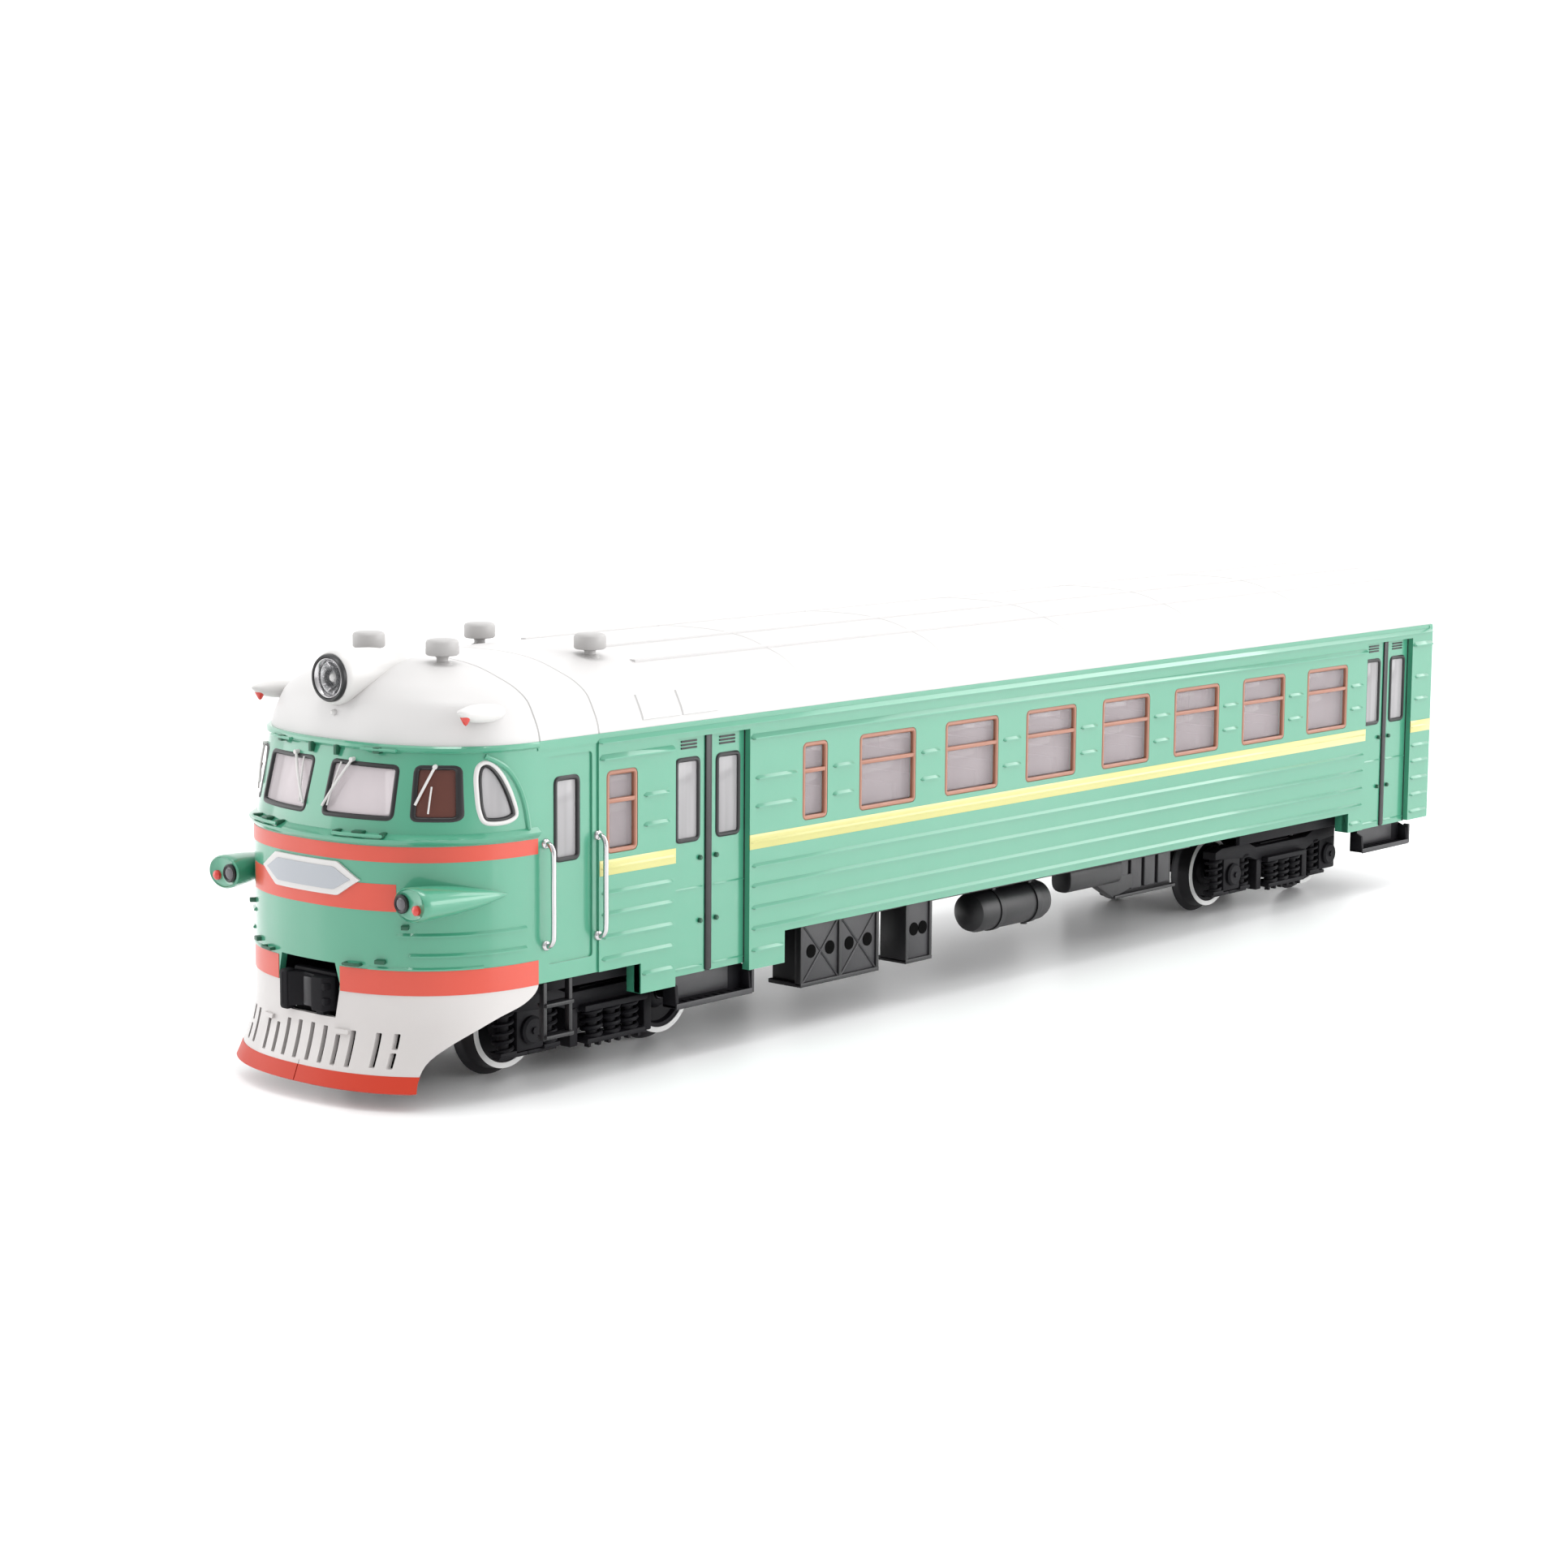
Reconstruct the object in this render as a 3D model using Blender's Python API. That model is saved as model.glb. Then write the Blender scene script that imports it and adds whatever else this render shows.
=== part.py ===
"""Driving trailer of an electric multiple unit, as a 1:87 model railway vehicle.

The frame is +X to the cab end, +Y to the vehicle's left, +Z up. The wheel flanges stand on
Z = 0 and the middle of the overall length is at X = 0. Every size below is in millimetres.
Places are given from a datum 1.8 mm in front of that middle and 1 mm above the rails.
add_object moves a finished mesh from the datum to the frame and scales it to metres.
"""

import math

import bmesh
import bpy
from mathutils import Matrix, Vector

MM = 0.001
GAP = 0.3  # clearance between touching pieces
DATUM = (1.8, 0.0, 1.0)  # the datum's place in the object's frame

# Body
HALF_WIDTH = 20.0
REAR_X = -112.9
NOSE_START_X = 92.9
NOSE_TIP_X = 111.6
NOSE_POWER = 2.35  # exponent of the superellipse that the nose follows in plan
NOSE_STEPS = 20
LEDGE_Z = 31.0  # the windscreen leans back from here
LEDGE_STEP = 0.6
LEDGE_HEIGHT = 0.31
WINDSCREEN_LEAN = 0.30
WALL = 1.2
POCKET_Z = 8.7  # lower edge of the front door pocket
SILL_Z = 12.9
REAR_SILL_Z = 9.8
CAB_SILL_Z = 12.5
GUTTER_Z = 41.6
CAB_POCKET_X = 75.45  # the cab's side is higher from here on
FRONT_POCKET_X = 48.5  # the front door pocket's rear end
REAR_POCKET_X = -88.4

# Openings in the sides, as (low X, high X), and their heights
WINDOW_WIDTH = 11.85
WINDOW_PITCH = 18.15
WINDOW_COUNT = 7
FIRST_WINDOW_X = 27.85
WINDOW_Z = (26.8, 36.95)
SMALL_WINDOWS = ((40.2, 45.2), (76.0, 81.5), (85.7, 89.9))
DOOR_WINDOWS = ((56.7, 61.1), (64.2, 68.7), (-98.0, -94.4), (-104.8, -101.2))
WINDSCREENS = ((1.5, 10.9), (13.1, 17.6))  # low and high Y
WINDSCREEN_Z = (32.9, 39.4)
QUARTER_WINDOW_X = (96.1, 101.4)
COUPLER_OPENING = (5.1, 9.1, 15.7)  # half width, low Z, high Z

# Roof: half width, X of the domed front and height of each level
ROOF_LEVELS = (
    (HALF_WIDTH, 107.6, GUTTER_Z + GAP / 2),
    (19.7, 107.3, 42.9),
    (18.9, 106.8, 44.6),
    (17.8, 106.0, 46.3),
    (15.8, 104.6, 47.6),
    (13.4, 103.0, 48.5),
    (9.7, 100.6, 49.6),
    (6.0, 98.4, 50.15),
    (2.5, 96.0, 50.35),
)

ROOF_VENTS = (("front", 95.4, 6.5, 52.0), ("rear", 73.6, 9.8, 51.4))  # X, Y and Z of the cap

# Running gear
GAUGE_BACK = 7.2  # half the distance between the wheels' backs
WHEEL_WIDTH = 3.0
FLANGE_RADIUS = 6.5
AXLE_Z = FLANGE_RADIUS - DATUM[2]
TREAD_RADIUS = 5.45
AXLE_RADIUS = 1.0
AXLE_HALF_LENGTH = 13.0
WHEELBASE = 27.6
FRONT_BOGIE_X = 75.0
REAR_BOGIE_X = -77.9
FRAME_INNER_Y = 12.2
FRAME_OUTER_Y = 14.6
PIVOT_SCREW_RADIUS = 1.2
AIR_RESERVOIR = (-13.2, 4.6, 2.9)  # low X, high X, radius
ROUND = 24  # segments of small round pieces

# Chassis and couplers
CHASSIS_Z = (13.4, 14.9)
DOOR_STEPS = ((54.2, 68.6, 5.6), (-108.0, -93.6, 5.9))  # low X, high X, Z of the tread
STEP_Y = (17.5, 19.8)
FRONT_COUPLER_X = 99.0
REAR_COUPLER_X = -103.5
FRONT_COUPLER_TIP_X = 113.2
REAR_COUPLER_TIP_X = -117.5
COUPLER_PIN_RADIUS = 1.2

# Rods and ladders on the cab
HANDRAILS_X = (("front", 91.7), ("rear", 82.8))
HANDRAIL_Z = (17.0, 29.3)
HANDRAIL_REACH = 1.4
LADDER_X = (87.2, 91.6)
LADDER_Y = 19.4
LADDER_FOOT_Z = 5.4
RUNGS_Z = (5.8, 9.6)

# Interior
WEIGHT_X = (-58, 56)
SEATS_X = (-90, 52)
SEAT_FLOOR_Z = (17.5, 18.4)
SEAT_COUNT = 14
FIRST_SEAT_X = -84.0
AISLE_HALF = 4.5
SEATS_HALF = 16.0
CAB_BACK_X = 80.0
CAB_HALF = 16.4
BOARD_Z = 44.4

# Lamps
HEADLIGHT_Z = 48.73
HOUSING_RADIUS = 3.3
HEADLIGHT_RADIUS = 2.75
MARKER_LAMP = (102.9, 18.2, 45.5)
BUFFER_LAMP = (110.2, 16.6, 23.8)
CLEAR_LENS_Y = 15.33
RED_LENS_Y = 17.97

COLOURS = {
    "green_body": ((0.11, 0.42, 0.27), 0.32, 0.0),
    "white_roof": ((0.80, 0.79, 0.76), 0.40, 0.0),
    "white_trim": ((0.82, 0.81, 0.78), 0.38, 0.0),
    "skirt_white": ((0.80, 0.79, 0.76), 0.38, 0.0),
    "clear_glazing": ((0.62, 0.63, 0.68), 0.12, 0.0),
    "chrome": ((0.85, 0.85, 0.86), 0.12, 1.0),
    "black_plastic": ((0.02, 0.02, 0.022), 0.45, 0.0),
    "black_rubber": ((0.015, 0.015, 0.016), 0.65, 0.0),
    "red_lens": ((0.45, 0.02, 0.02), 0.15, 0.0),
    "clear_lens": ((0.80, 0.80, 0.80), 0.10, 0.0),
    "brown_interior": ((0.16, 0.07, 0.03), 0.55, 0.0),
    "steel": ((0.55, 0.55, 0.56), 0.30, 1.0),
    "board_green": ((0.02, 0.16, 0.06), 0.45, 0.0),
}


def clear_scene():
    for obj in list(bpy.data.objects):
        bpy.data.objects.remove(obj)


def material(name):
    found = bpy.data.materials.get(name)
    if found:
        return found
    colour, roughness, metallic = COLOURS[name]
    made = bpy.data.materials.new(name)
    made.use_nodes = True
    shader = made.node_tree.nodes["Principled BSDF"]
    shader.inputs["Base Color"].default_value = (*colour, 1.0)
    shader.inputs["Roughness"].default_value = roughness
    shader.inputs["Metallic"].default_value = metallic
    return made


def from_datum(parent):
    """Moves a piece of the car body from the datum to the frame."""
    return Vector((0, 0, 0)) if parent else Vector(DATUM)


def add_empty(name, place, parent=None):
    """A joint's pivot, which the pieces of its body hang from."""
    empty = bpy.data.objects.new(name, None)
    empty.location = (Vector(place) + from_datum(parent)) * MM
    empty.parent = parent
    bpy.context.collection.objects.link(empty)
    return empty


def add_object(name, bm, material_name, parent=None):
    """Makes an object from a mesh drawn in millimetres, relative to its parent."""
    bmesh.ops.recalc_face_normals(bm, faces=bm.faces)
    bmesh.ops.translate(bm, vec=from_datum(parent), verts=bm.verts)
    bmesh.ops.scale(bm, vec=(MM, MM, MM), verts=bm.verts)
    mesh = bpy.data.meshes.new(name)
    bm.to_mesh(mesh)
    bm.free()
    mesh.shade_smooth()
    mesh.set_sharp_from_angle(angle=math.radians(35))
    mesh.materials.append(material(material_name))
    obj = bpy.data.objects.new(name, mesh)
    obj.parent = parent
    bpy.context.collection.objects.link(obj)
    return obj


def add_helper(name, bm, parent=None):
    """A solid that only takes part in a Boolean."""
    obj = add_object(name, bm, "black_plastic", parent)
    obj.hide_render = True
    obj.display_type = "WIRE"
    return obj


def boolean(obj, operation, *others):
    for other in others:
        modifier = obj.modifiers.new(operation.lower(), "BOOLEAN")
        modifier.operation = operation
        modifier.solver = "EXACT"
        modifier.object = other


def cut(obj, *cutters):
    boolean(obj, "DIFFERENCE", *cutters)


def unite(obj, *others):
    boolean(obj, "UNION", *others)


def box(low, high, bm=None):
    bm = bm or bmesh.new()
    size = Vector(high) - Vector(low)
    middle = (Vector(high) + Vector(low)) / 2
    place = Matrix.Translation(middle) @ Matrix.Diagonal((*size, 1.0))
    bmesh.ops.create_cube(bm, size=1.0, matrix=place)
    return bm


def cylinder(start, end, radius, end_radius=None, segments=ROUND, bm=None):
    """A cylinder or cone between two points."""
    bm = bm or bmesh.new()
    run = Vector(end) - Vector(start)
    turn = run.to_track_quat("Z", "Y").to_matrix().to_4x4()
    place = Matrix.Translation((Vector(start) + Vector(end)) / 2) @ turn
    bmesh.ops.create_cone(
        bm,
        cap_ends=True,
        segments=segments,
        radius1=radius,
        radius2=radius if end_radius is None else end_radius,
        depth=run.length,
        matrix=place,
    )
    return bm


def prism(outline, low, high, axis):
    """A polygon in the plane across `axis`, extruded along it. Y takes (x, z) points."""
    bm = bmesh.new()
    if axis == "Y":
        points = [(a, low, b) for a, b in outline]
        step = (0, high - low, 0)
    elif axis == "X":
        points = [(low, a, b) for a, b in outline]
        step = (high - low, 0, 0)
    else:
        points = [(a, b, low) for a, b in outline]
        step = (0, 0, high - low)
    face = bm.faces.new([bm.verts.new(point) for point in points])
    grown = bmesh.ops.extrude_face_region(bm, geom=[face])
    moved = [item for item in grown["geom"] if isinstance(item, bmesh.types.BMVert)]
    bmesh.ops.translate(bm, vec=step, verts=moved)
    return bm


def lathe(profile, place=(0, 0, 0), axis="Z", segments=ROUND):
    """Turns a closed profile of (radius, height) points about an axis."""
    bm = bmesh.new()
    turn = {
        "X": Matrix.Rotation(math.pi / 2, 4, "Y"),
        "Y": Matrix.Rotation(-math.pi / 2, 4, "X"),
        "Z": Matrix(),
    }
    rings = []
    for step in range(segments):
        angle = 2 * math.pi * step / segments
        rings.append([bm.verts.new((r * math.cos(angle), r * math.sin(angle), h)) for r, h in profile])
    bridge(bm, rings, wrap_rings=True, wrap_points=True)
    bmesh.ops.remove_doubles(bm, verts=bm.verts, dist=1e-4)
    bmesh.ops.transform(bm, matrix=Matrix.Translation(place) @ turn[axis], verts=bm.verts)
    return bm


def bridge(bm, rings, wrap_rings=False, wrap_points=True):
    """Quads between neighbouring rings of the same number of vertices."""
    count = len(rings[0])
    for i in range(len(rings) if wrap_rings else len(rings) - 1):
        here = rings[i]
        there = rings[(i + 1) % len(rings)]
        for j in range(count if wrap_points else count - 1):
            k = (j + 1) % count
            corners = (here[j], here[k], there[k], there[j])
            bm.faces.new(corners)


def loft(rings, capped=True, wrap=False):
    """A solid through closed rings of points, with a cap on the first and the last."""
    bm = bmesh.new()
    made = [[bm.verts.new(point) for point in ring] for ring in rings]
    bridge(bm, made, wrap_rings=wrap)
    if capped:
        bm.faces.new(made[0])
        bm.faces.new(made[-1])
    return bm


def nose_arc(half_width, tip_x, z, steps=NOSE_STEPS):
    """The nose in plan: half a superellipse from the right side round to the left."""
    points = []
    for step in range(steps + 1):
        angle = math.radians(-90 + 180 * step / steps)
        forward = abs(math.cos(angle)) ** (2 / NOSE_POWER)
        across = math.copysign(abs(math.sin(angle)) ** (2 / NOSE_POWER), angle)
        x = NOSE_START_X + (tip_x - NOSE_START_X) * forward
        points.append((x, half_width * across, z))
    return points


def plan_ring(half_width, tip_x, z, rear_x=REAR_X):
    return [(rear_x, -half_width, z), *nose_arc(half_width, tip_x, z), (rear_x, half_width, z)]


def nose_tip(z):
    """X of the nose's foremost line at a height of the body."""
    if z <= LEDGE_Z:
        return NOSE_TIP_X
    return NOSE_TIP_X - LEDGE_STEP - WINDSCREEN_LEAN * (z - LEDGE_Z)


def body_ring(z, inset=0.0):
    return plan_ring(HALF_WIDTH - inset, nose_tip(z) - inset, z, REAR_X + inset)


def body_levels():
    return (POCKET_Z, LEDGE_Z, LEDGE_Z + LEDGE_HEIGHT, GUTTER_Z - GAP / 2)


def roof_ring(level, inset=0.0, drop=0.0):
    half_width, tip_x, z = level
    return plan_ring(half_width - inset, tip_x - inset, z - drop, REAR_X + inset)


def mirrored_boxes(low, high, bm=None):
    """A box on the left side and its mirror image on the right."""
    bm = box(low, high, bm)
    return box((low[0], -high[1], low[2]), (high[0], -low[1], high[2]), bm)


def side_box(sign, low, high):
    """A box given for the left side, or its mirror image where sign is -1."""
    low_y, high_y = sorted((sign * low[1], sign * high[1]))
    return box((low[0], low_y, low[2]), (high[0], high_y, high[2]))


def add_side_openings(bm):
    """Through-cuts for the windows in both sides."""
    low_z, high_z = WINDOW_Z
    spans = [
        (x - WINDOW_WIDTH / 2, x + WINDOW_WIDTH / 2)
        for x in (FIRST_WINDOW_X - WINDOW_PITCH * k for k in range(WINDOW_COUNT))
    ]
    for low_x, high_x in (*spans, *SMALL_WINDOWS, *DOOR_WINDOWS):
        mirrored_boxes((low_x, 15, low_z), (high_x, 25, high_z), bm)


def add_nose_openings(bm):
    """Cuts for the windscreens and the quarter windows."""
    for low_y, high_y in WINDSCREENS:
        mirrored_boxes((102.0, low_y, WINDSCREEN_Z[0]), (115.0, high_y, WINDSCREEN_Z[1]), bm)
    low_x, high_x = QUARTER_WINDOW_X
    mirrored_boxes((low_x, 15.5, WINDSCREEN_Z[0]), (high_x, 25, WINDSCREEN_Z[1]), bm)


def make_body_shell():
    outer = [body_ring(z) for z in body_levels()]
    inner = [body_ring(z, WALL) for z in reversed(body_levels())]
    shell = add_object("body_shell", loft(outer + inner, capped=False, wrap=True), "green_body")
    below = [
        (-130, -5),
        (130, -5),
        (130, CAB_SILL_Z),
        (CAB_POCKET_X, CAB_SILL_Z),
        (CAB_POCKET_X, POCKET_Z - 1),
        (FRONT_POCKET_X, POCKET_Z - 1),
        (FRONT_POCKET_X, SILL_Z),
        (REAR_POCKET_X, SILL_Z),
        (REAR_POCKET_X, REAR_SILL_Z),
        (-130, REAR_SILL_Z),
    ]
    half, low_z, high_z = COUPLER_OPENING
    openings = box((100, -half, low_z), (130, half, high_z))
    add_side_openings(openings)
    add_nose_openings(openings)
    cut(
        shell,
        add_helper("body_opening_cut", openings),
        add_helper("body_lower_edge_cut", prism(below, -30, 30, "Y")),
    )


def roof_envelope(extra=0.0):
    """The roof's outer volume, grown by `extra`, down to below the gutter."""
    rings = [roof_ring(level, -extra, -extra) for level in ROOF_LEVELS]
    lowest = roof_ring((HALF_WIDTH + 1.0, ROOF_LEVELS[0][1] + 1.0, GUTTER_Z - 6), 0)
    return loft([lowest, *rings])


def body_envelope(extra):
    """The body's outer volume, grown by `extra`."""
    return loft([body_ring(z, -extra) for z in body_levels()])


def make_roof():
    outer = [roof_ring(level) for level in reversed(ROOF_LEVELS)]
    inner = [roof_ring(level, WALL, WALL * 0.9) for level in ROOF_LEVELS[1:]]
    lowest = roof_ring(ROOF_LEVELS[0], WALL)
    roof = add_object("roof_shell", loft([*outer, lowest, *inner]), "white_roof")
    housing = cylinder((92, 0, HEADLIGHT_Z), (115, 0, HEADLIGHT_Z), HOUSING_RADIUS + GAP)
    cut(roof, add_helper("headlight_cut", housing))


def make_headlight():
    start = 92.6
    front = 107.2
    housing = cylinder((start, 0, HEADLIGHT_Z), (front, 0, HEADLIGHT_Z), HOUSING_RADIUS)
    add_object("headlight_housing", housing, "white_trim")
    outer = HEADLIGHT_RADIUS
    ring = [(outer, 0), (outer, 1.3), (outer - 0.8, 1.3), (outer - 0.8, 0)]
    bezel = lathe(ring, (front + GAP, 0, HEADLIGHT_Z), "X")
    add_object("headlight_bezel", bezel, "black_plastic")
    lens_start = front + GAP
    lens = cylinder((lens_start, 0, HEADLIGHT_Z), (lens_start + 0.9, 0, HEADLIGHT_Z), outer - 1.1)
    add_object("headlight_lens", lens, "clear_lens")


def roof_height(y):
    """Height of the roof at a distance from the middle."""
    levels = sorted((half_width, z) for half_width, _, z in ROOF_LEVELS)
    for (y_in, z_in), (y_out, z_out) in zip(levels, levels[1:]):
        if y_in <= y <= y_out:
            return z_in + (z_out - z_in) * (y - y_in) / (y_out - y_in)
    return levels[0][1]


def make_roof_vents():
    for end, x, y, cap_z in ROOF_VENTS:
        for side, sign in (("left", 1), ("right", -1)):
            foot = roof_height(y - 1.0) + GAP
            profile = [
                (0, foot),
                (0.9, foot),
                (1.2, cap_z - 1.0),
                (2.0, cap_z - 0.9),
                (2.0, cap_z + 0.6),
                (1.7, cap_z + 0.95),
                (0, cap_z + 1.0),
            ]
            vent = lathe(profile, (x, sign * y, 0), segments=16)
            add_object(f"roof_vent_{end}_{side}", vent, "white_trim")


def ellipsoid(centre, radii, segments=16):
    bm = bmesh.new()
    place = Matrix.Translation(centre) @ Matrix.Diagonal((*radii, 1.0))
    bmesh.ops.create_uvsphere(bm, u_segments=segments, v_segments=10, radius=1.0, matrix=place)
    return bm


def make_lamps():
    """Lamp fairings that stand proud of the roof and of the nose, each with its lenses."""
    x, y, z = MARKER_LAMP
    lamp_x, lamp_y, lamp_z = BUFFER_LAMP
    roof_cut = add_helper("marker_lamp_cut", roof_envelope(GAP))
    body_cut = add_helper("buffer_lamp_cut", body_envelope(GAP))
    for side, sign in (("left", 1), ("right", -1)):
        trim = add_helper(f"marker_front_cut_{side}", box((x - GAP, -30, 30), (x + 20, 30, 60)))
        hood = ellipsoid((x - 3, sign * y, z), (7.0, 1.9, 1.7))
        marker = add_object(f"marker_lamp_{side}", hood, "white_trim")
        cut(marker, trim, roof_cut)
        lens = cylinder((x, sign * y, z), (x + 0.8, sign * y, z), 1.3, 0.7, 16)
        add_object(f"marker_lens_{side}", lens, "red_lens")
        front_face = box((lamp_x - GAP, -30, 10), (lamp_x + 20, 30, 40))
        front = add_helper(f"buffer_front_cut_{side}", front_face)
        fairing = ellipsoid((lamp_x - 2.8, sign * lamp_y, lamp_z), (9.2, 3.1, 1.95))
        lamp = add_object(f"buffer_lamp_{side}", fairing, "green_body")
        cut(lamp, front, body_cut)
        for kind, lens_y in (("clear", CLEAR_LENS_Y), ("red", RED_LENS_Y)):
            start = (lamp_x, sign * lens_y, lamp_z)
            glass = cylinder(start, (lamp_x + 0.7, sign * lens_y, lamp_z), 1.1, 0.8, 16)
            add_object(f"{kind}_lens_{side}", glass, f"{kind}_lens")


def band(half_width, tip_x, z, thickness):
    """A closed ring of points: the nose's outer arc and back along its inner face."""
    outer = nose_arc(half_width, tip_x, z)
    inner = nose_arc(half_width - thickness, tip_x - thickness, z)
    return outer + inner[::-1]


def make_glazing():
    low_z, high_z = LEDGE_Z + 0.6, GUTTER_Z - 1.2
    inset = WALL + GAP
    rings = [band(HALF_WIDTH - inset, nose_tip(z) - inset, z, 0.8) for z in (low_z, high_z)]
    add_object("windscreen_glazing", loft(rings), "clear_glazing")
    outer_y = HALF_WIDTH - inset
    for side, sign in (("left", 1), ("right", -1)):
        ys = sorted((sign * outer_y, sign * (outer_y - 0.8)))
        strip = box((REAR_X + 2.0, ys[0], 25.5), (NOSE_START_X - GAP, ys[1], 40.3))
        add_object(f"side_glazing_{side}", strip, "clear_glazing")


def make_gangway():
    outer = [(-8.2, 13.4), (8.2, 13.4), (8.2, 37.0), (6.4, 39.0), (-6.4, 39.0), (-8.2, 37.0)]
    fold = prism(outer, REAR_X - GAP - 2.4, REAR_X - GAP, "X")
    frame = add_object("gangway_bellows", fold, "black_rubber")
    cut(frame, add_helper("bellows_cut", box((REAR_X - 5, -6, 14.9), (REAR_X + 5, 6, 37.2))))


def skirt_flare(z):
    """How far the skirt spreads outwards at a height."""
    return 1.9 * (max(9.5 - z, 0.0) / 7.0) ** 1.5


def make_skirt():
    rings = []
    for z in (1.3, 3.1, 5.3, 7.5, 9.5, CAB_SILL_Z - GAP):
        spread = skirt_flare(z)
        rings.append(band(HALF_WIDTH + spread, NOSE_TIP_X - 0.1 + spread, z, WALL))
    skirt = add_object("front_skirt", loft(rings), "skirt_white")
    lower_edge = [
        (80.0, -1.0),
        (80.0, 11.9),
        (92.95, 11.9),
        (95.3, 10.4),
        (101.2, 8.3),
        (103.9, 6.8),
        (106.3, 5.0),
        (107.6, 3.1),
        (108.6, -1.0),
    ]
    half, low_z, high_z = COUPLER_OPENING
    cut(
        skirt,
        add_helper("skirt_edge_cut", prism(lower_edge, -30, 30, "Y")),
        add_helper("skirt_coupler_cut", box((100, -half, low_z), (130, half, high_z))),
    )


def wire(name, points, radius, material_name):
    """A bent wire: a poly curve with a round bevel and closed ends."""
    curve = bpy.data.curves.new(name, "CURVE")
    curve.dimensions = "3D"
    curve.bevel_depth = radius * MM
    curve.bevel_resolution = 1
    curve.use_fill_caps = True
    spline = curve.splines.new("POLY")
    spline.points.add(len(points) - 1)
    for point, place in zip(spline.points, points):
        point.co = (*((Vector(place) + from_datum(None)) * MM), 1.0)
    curve.materials.append(material(material_name))
    obj = bpy.data.objects.new(name, curve)
    bpy.context.collection.objects.link(obj)
    return obj


def make_handrails():
    low_z, high_z = HANDRAIL_Z
    middle_z = (low_z + high_z) / 2
    lower_half = ((GAP, low_z), (0.9, low_z + 0.1), (HANDRAIL_REACH - 0.1, low_z + 1.0))
    upper_half = [(out, low_z + high_z - z) for out, z in reversed(lower_half)]
    bow = (*lower_half, (HANDRAIL_REACH, middle_z), *upper_half)
    for end, x in HANDRAILS_X:
        for side, sign in (("left", 1), ("right", -1)):
            path = [(x, sign * (HALF_WIDTH + out), z) for out, z in bow]
            wire(f"cab_handrail_{end}_{side}", path, 0.3, "chrome")


def nose_x(y, z):
    """X of the nose's surface at a place across it."""
    reach = (1 - (abs(y) / HALF_WIDTH) ** NOSE_POWER) ** (1 / NOSE_POWER)
    return NOSE_START_X + (nose_tip(z) - NOSE_START_X) * reach


def make_wipers():
    """Each arm hangs from above its windscreen and slants towards the middle of the nose."""
    for side, sign in (("left", 1), ("right", -1)):
        arm = []
        for share in (0.0, 0.33, 0.66, 1.0):
            y = sign * (5.3 - 3.6 * share)
            z = 39.9 - 5.9 * share
            arm.append((nose_x(y, z) + GAP + 0.35, y, z))
        wire(f"wiper_{side}", arm, 0.25, "white_trim")


def make_ladders():
    """Two stiles with two rungs across them, under each cab door."""
    low_x, high_x = LADDER_X
    top_z = CAB_SILL_Z - GAP
    for side, sign in (("left", 1), ("right", -1)):
        y = sign * LADDER_Y
        stiles = [box((x - 0.4, y - 0.5, LADDER_FOOT_Z), (x + 0.4, y + 0.5, top_z)) for x in LADDER_X]
        rungs = [box((low_x - 0.3, y - 0.9, z - 0.4), (high_x + 0.3, y + 0.9, z + 0.4)) for z in RUNGS_Z]
        ladder = add_object(f"cab_ladder_{side}", stiles[0], "black_plastic")
        pieces = [stiles[1], *rungs]
        unite(ladder, *(add_helper(f"ladder_piece_{side}_{i}", bm) for i, bm in enumerate(pieces)))


def make_chassis():
    low_z, high_z = CHASSIS_Z
    half = HALF_WIDTH - WALL - 0.5
    rings = [plan_ring(half, 104.0, z, REAR_X + 1.7) for z in (low_z, high_z)]
    chassis = add_object("chassis_frame", loft(rings), "black_plastic")
    pieces = [
        cylinder((FRONT_COUPLER_X, 0, 9.6), (FRONT_COUPLER_X, 0, low_z + 0.5), COUPLER_PIN_RADIUS),
        cylinder((REAR_COUPLER_X, 0, 5.4), (REAR_COUPLER_X, 0, low_z + 0.5), COUPLER_PIN_RADIUS),
    ]
    inner_y, outer_y = STEP_Y
    for low_x, high_x, tread_z in DOOR_STEPS:
        for sign in (1, -1):
            hanger_low = (low_x + 1, inner_y + 0.1, tread_z + 0.3)
            pieces.append(side_box(sign, hanger_low, (high_x - 1, inner_y + 0.8, low_z + 0.5)))
            pieces.append(side_box(sign, (low_x, inner_y, tread_z), (high_x, outer_y, tread_z + 0.6)))
            for x in (low_x, high_x - 0.7):
                end_low = (x, inner_y + 0.05, tread_z + 0.2)
                pieces.append(side_box(sign, end_low, (x + 0.7, outer_y - 0.1, POCKET_Z - GAP)))
    unite(chassis, *(add_helper(f"chassis_piece_{i}", bm) for i, bm in enumerate(pieces)))


def make_seats():
    """A floor with a row of seats along each side, as one moulding."""
    floor_low, floor_high = SEAT_FLOOR_Z
    floor = box((SEATS_X[0], -SEATS_HALF - 0.6, floor_low), (SEATS_X[1], SEATS_HALF + 0.6, floor_high))
    seats = add_object("seat_moulding", floor, "brown_interior")
    foot = floor_high - 0.4
    row = [(FIRST_SEAT_X - 2.0, foot)]
    for index in range(SEAT_COUNT):
        x = FIRST_SEAT_X + WINDOW_PITCH / 2 * index
        row += [(x, foot), (x, 21.2), (x + 4.6, 21.2), (x + 5.0, 28.8), (x + 5.9, 28.8), (x + 6.1, foot)]
    row += [(46.0, foot), (46.0, foot - 0.2), (FIRST_SEAT_X - 2.0, foot - 0.2)]
    left = add_helper("seat_rows_left", prism(row, AISLE_HALF, SEATS_HALF, "Y"))
    right = add_helper("seat_rows_right", prism(row, -SEATS_HALF, -AISLE_HALF, "Y"))
    unite(seats, left, right)


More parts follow.
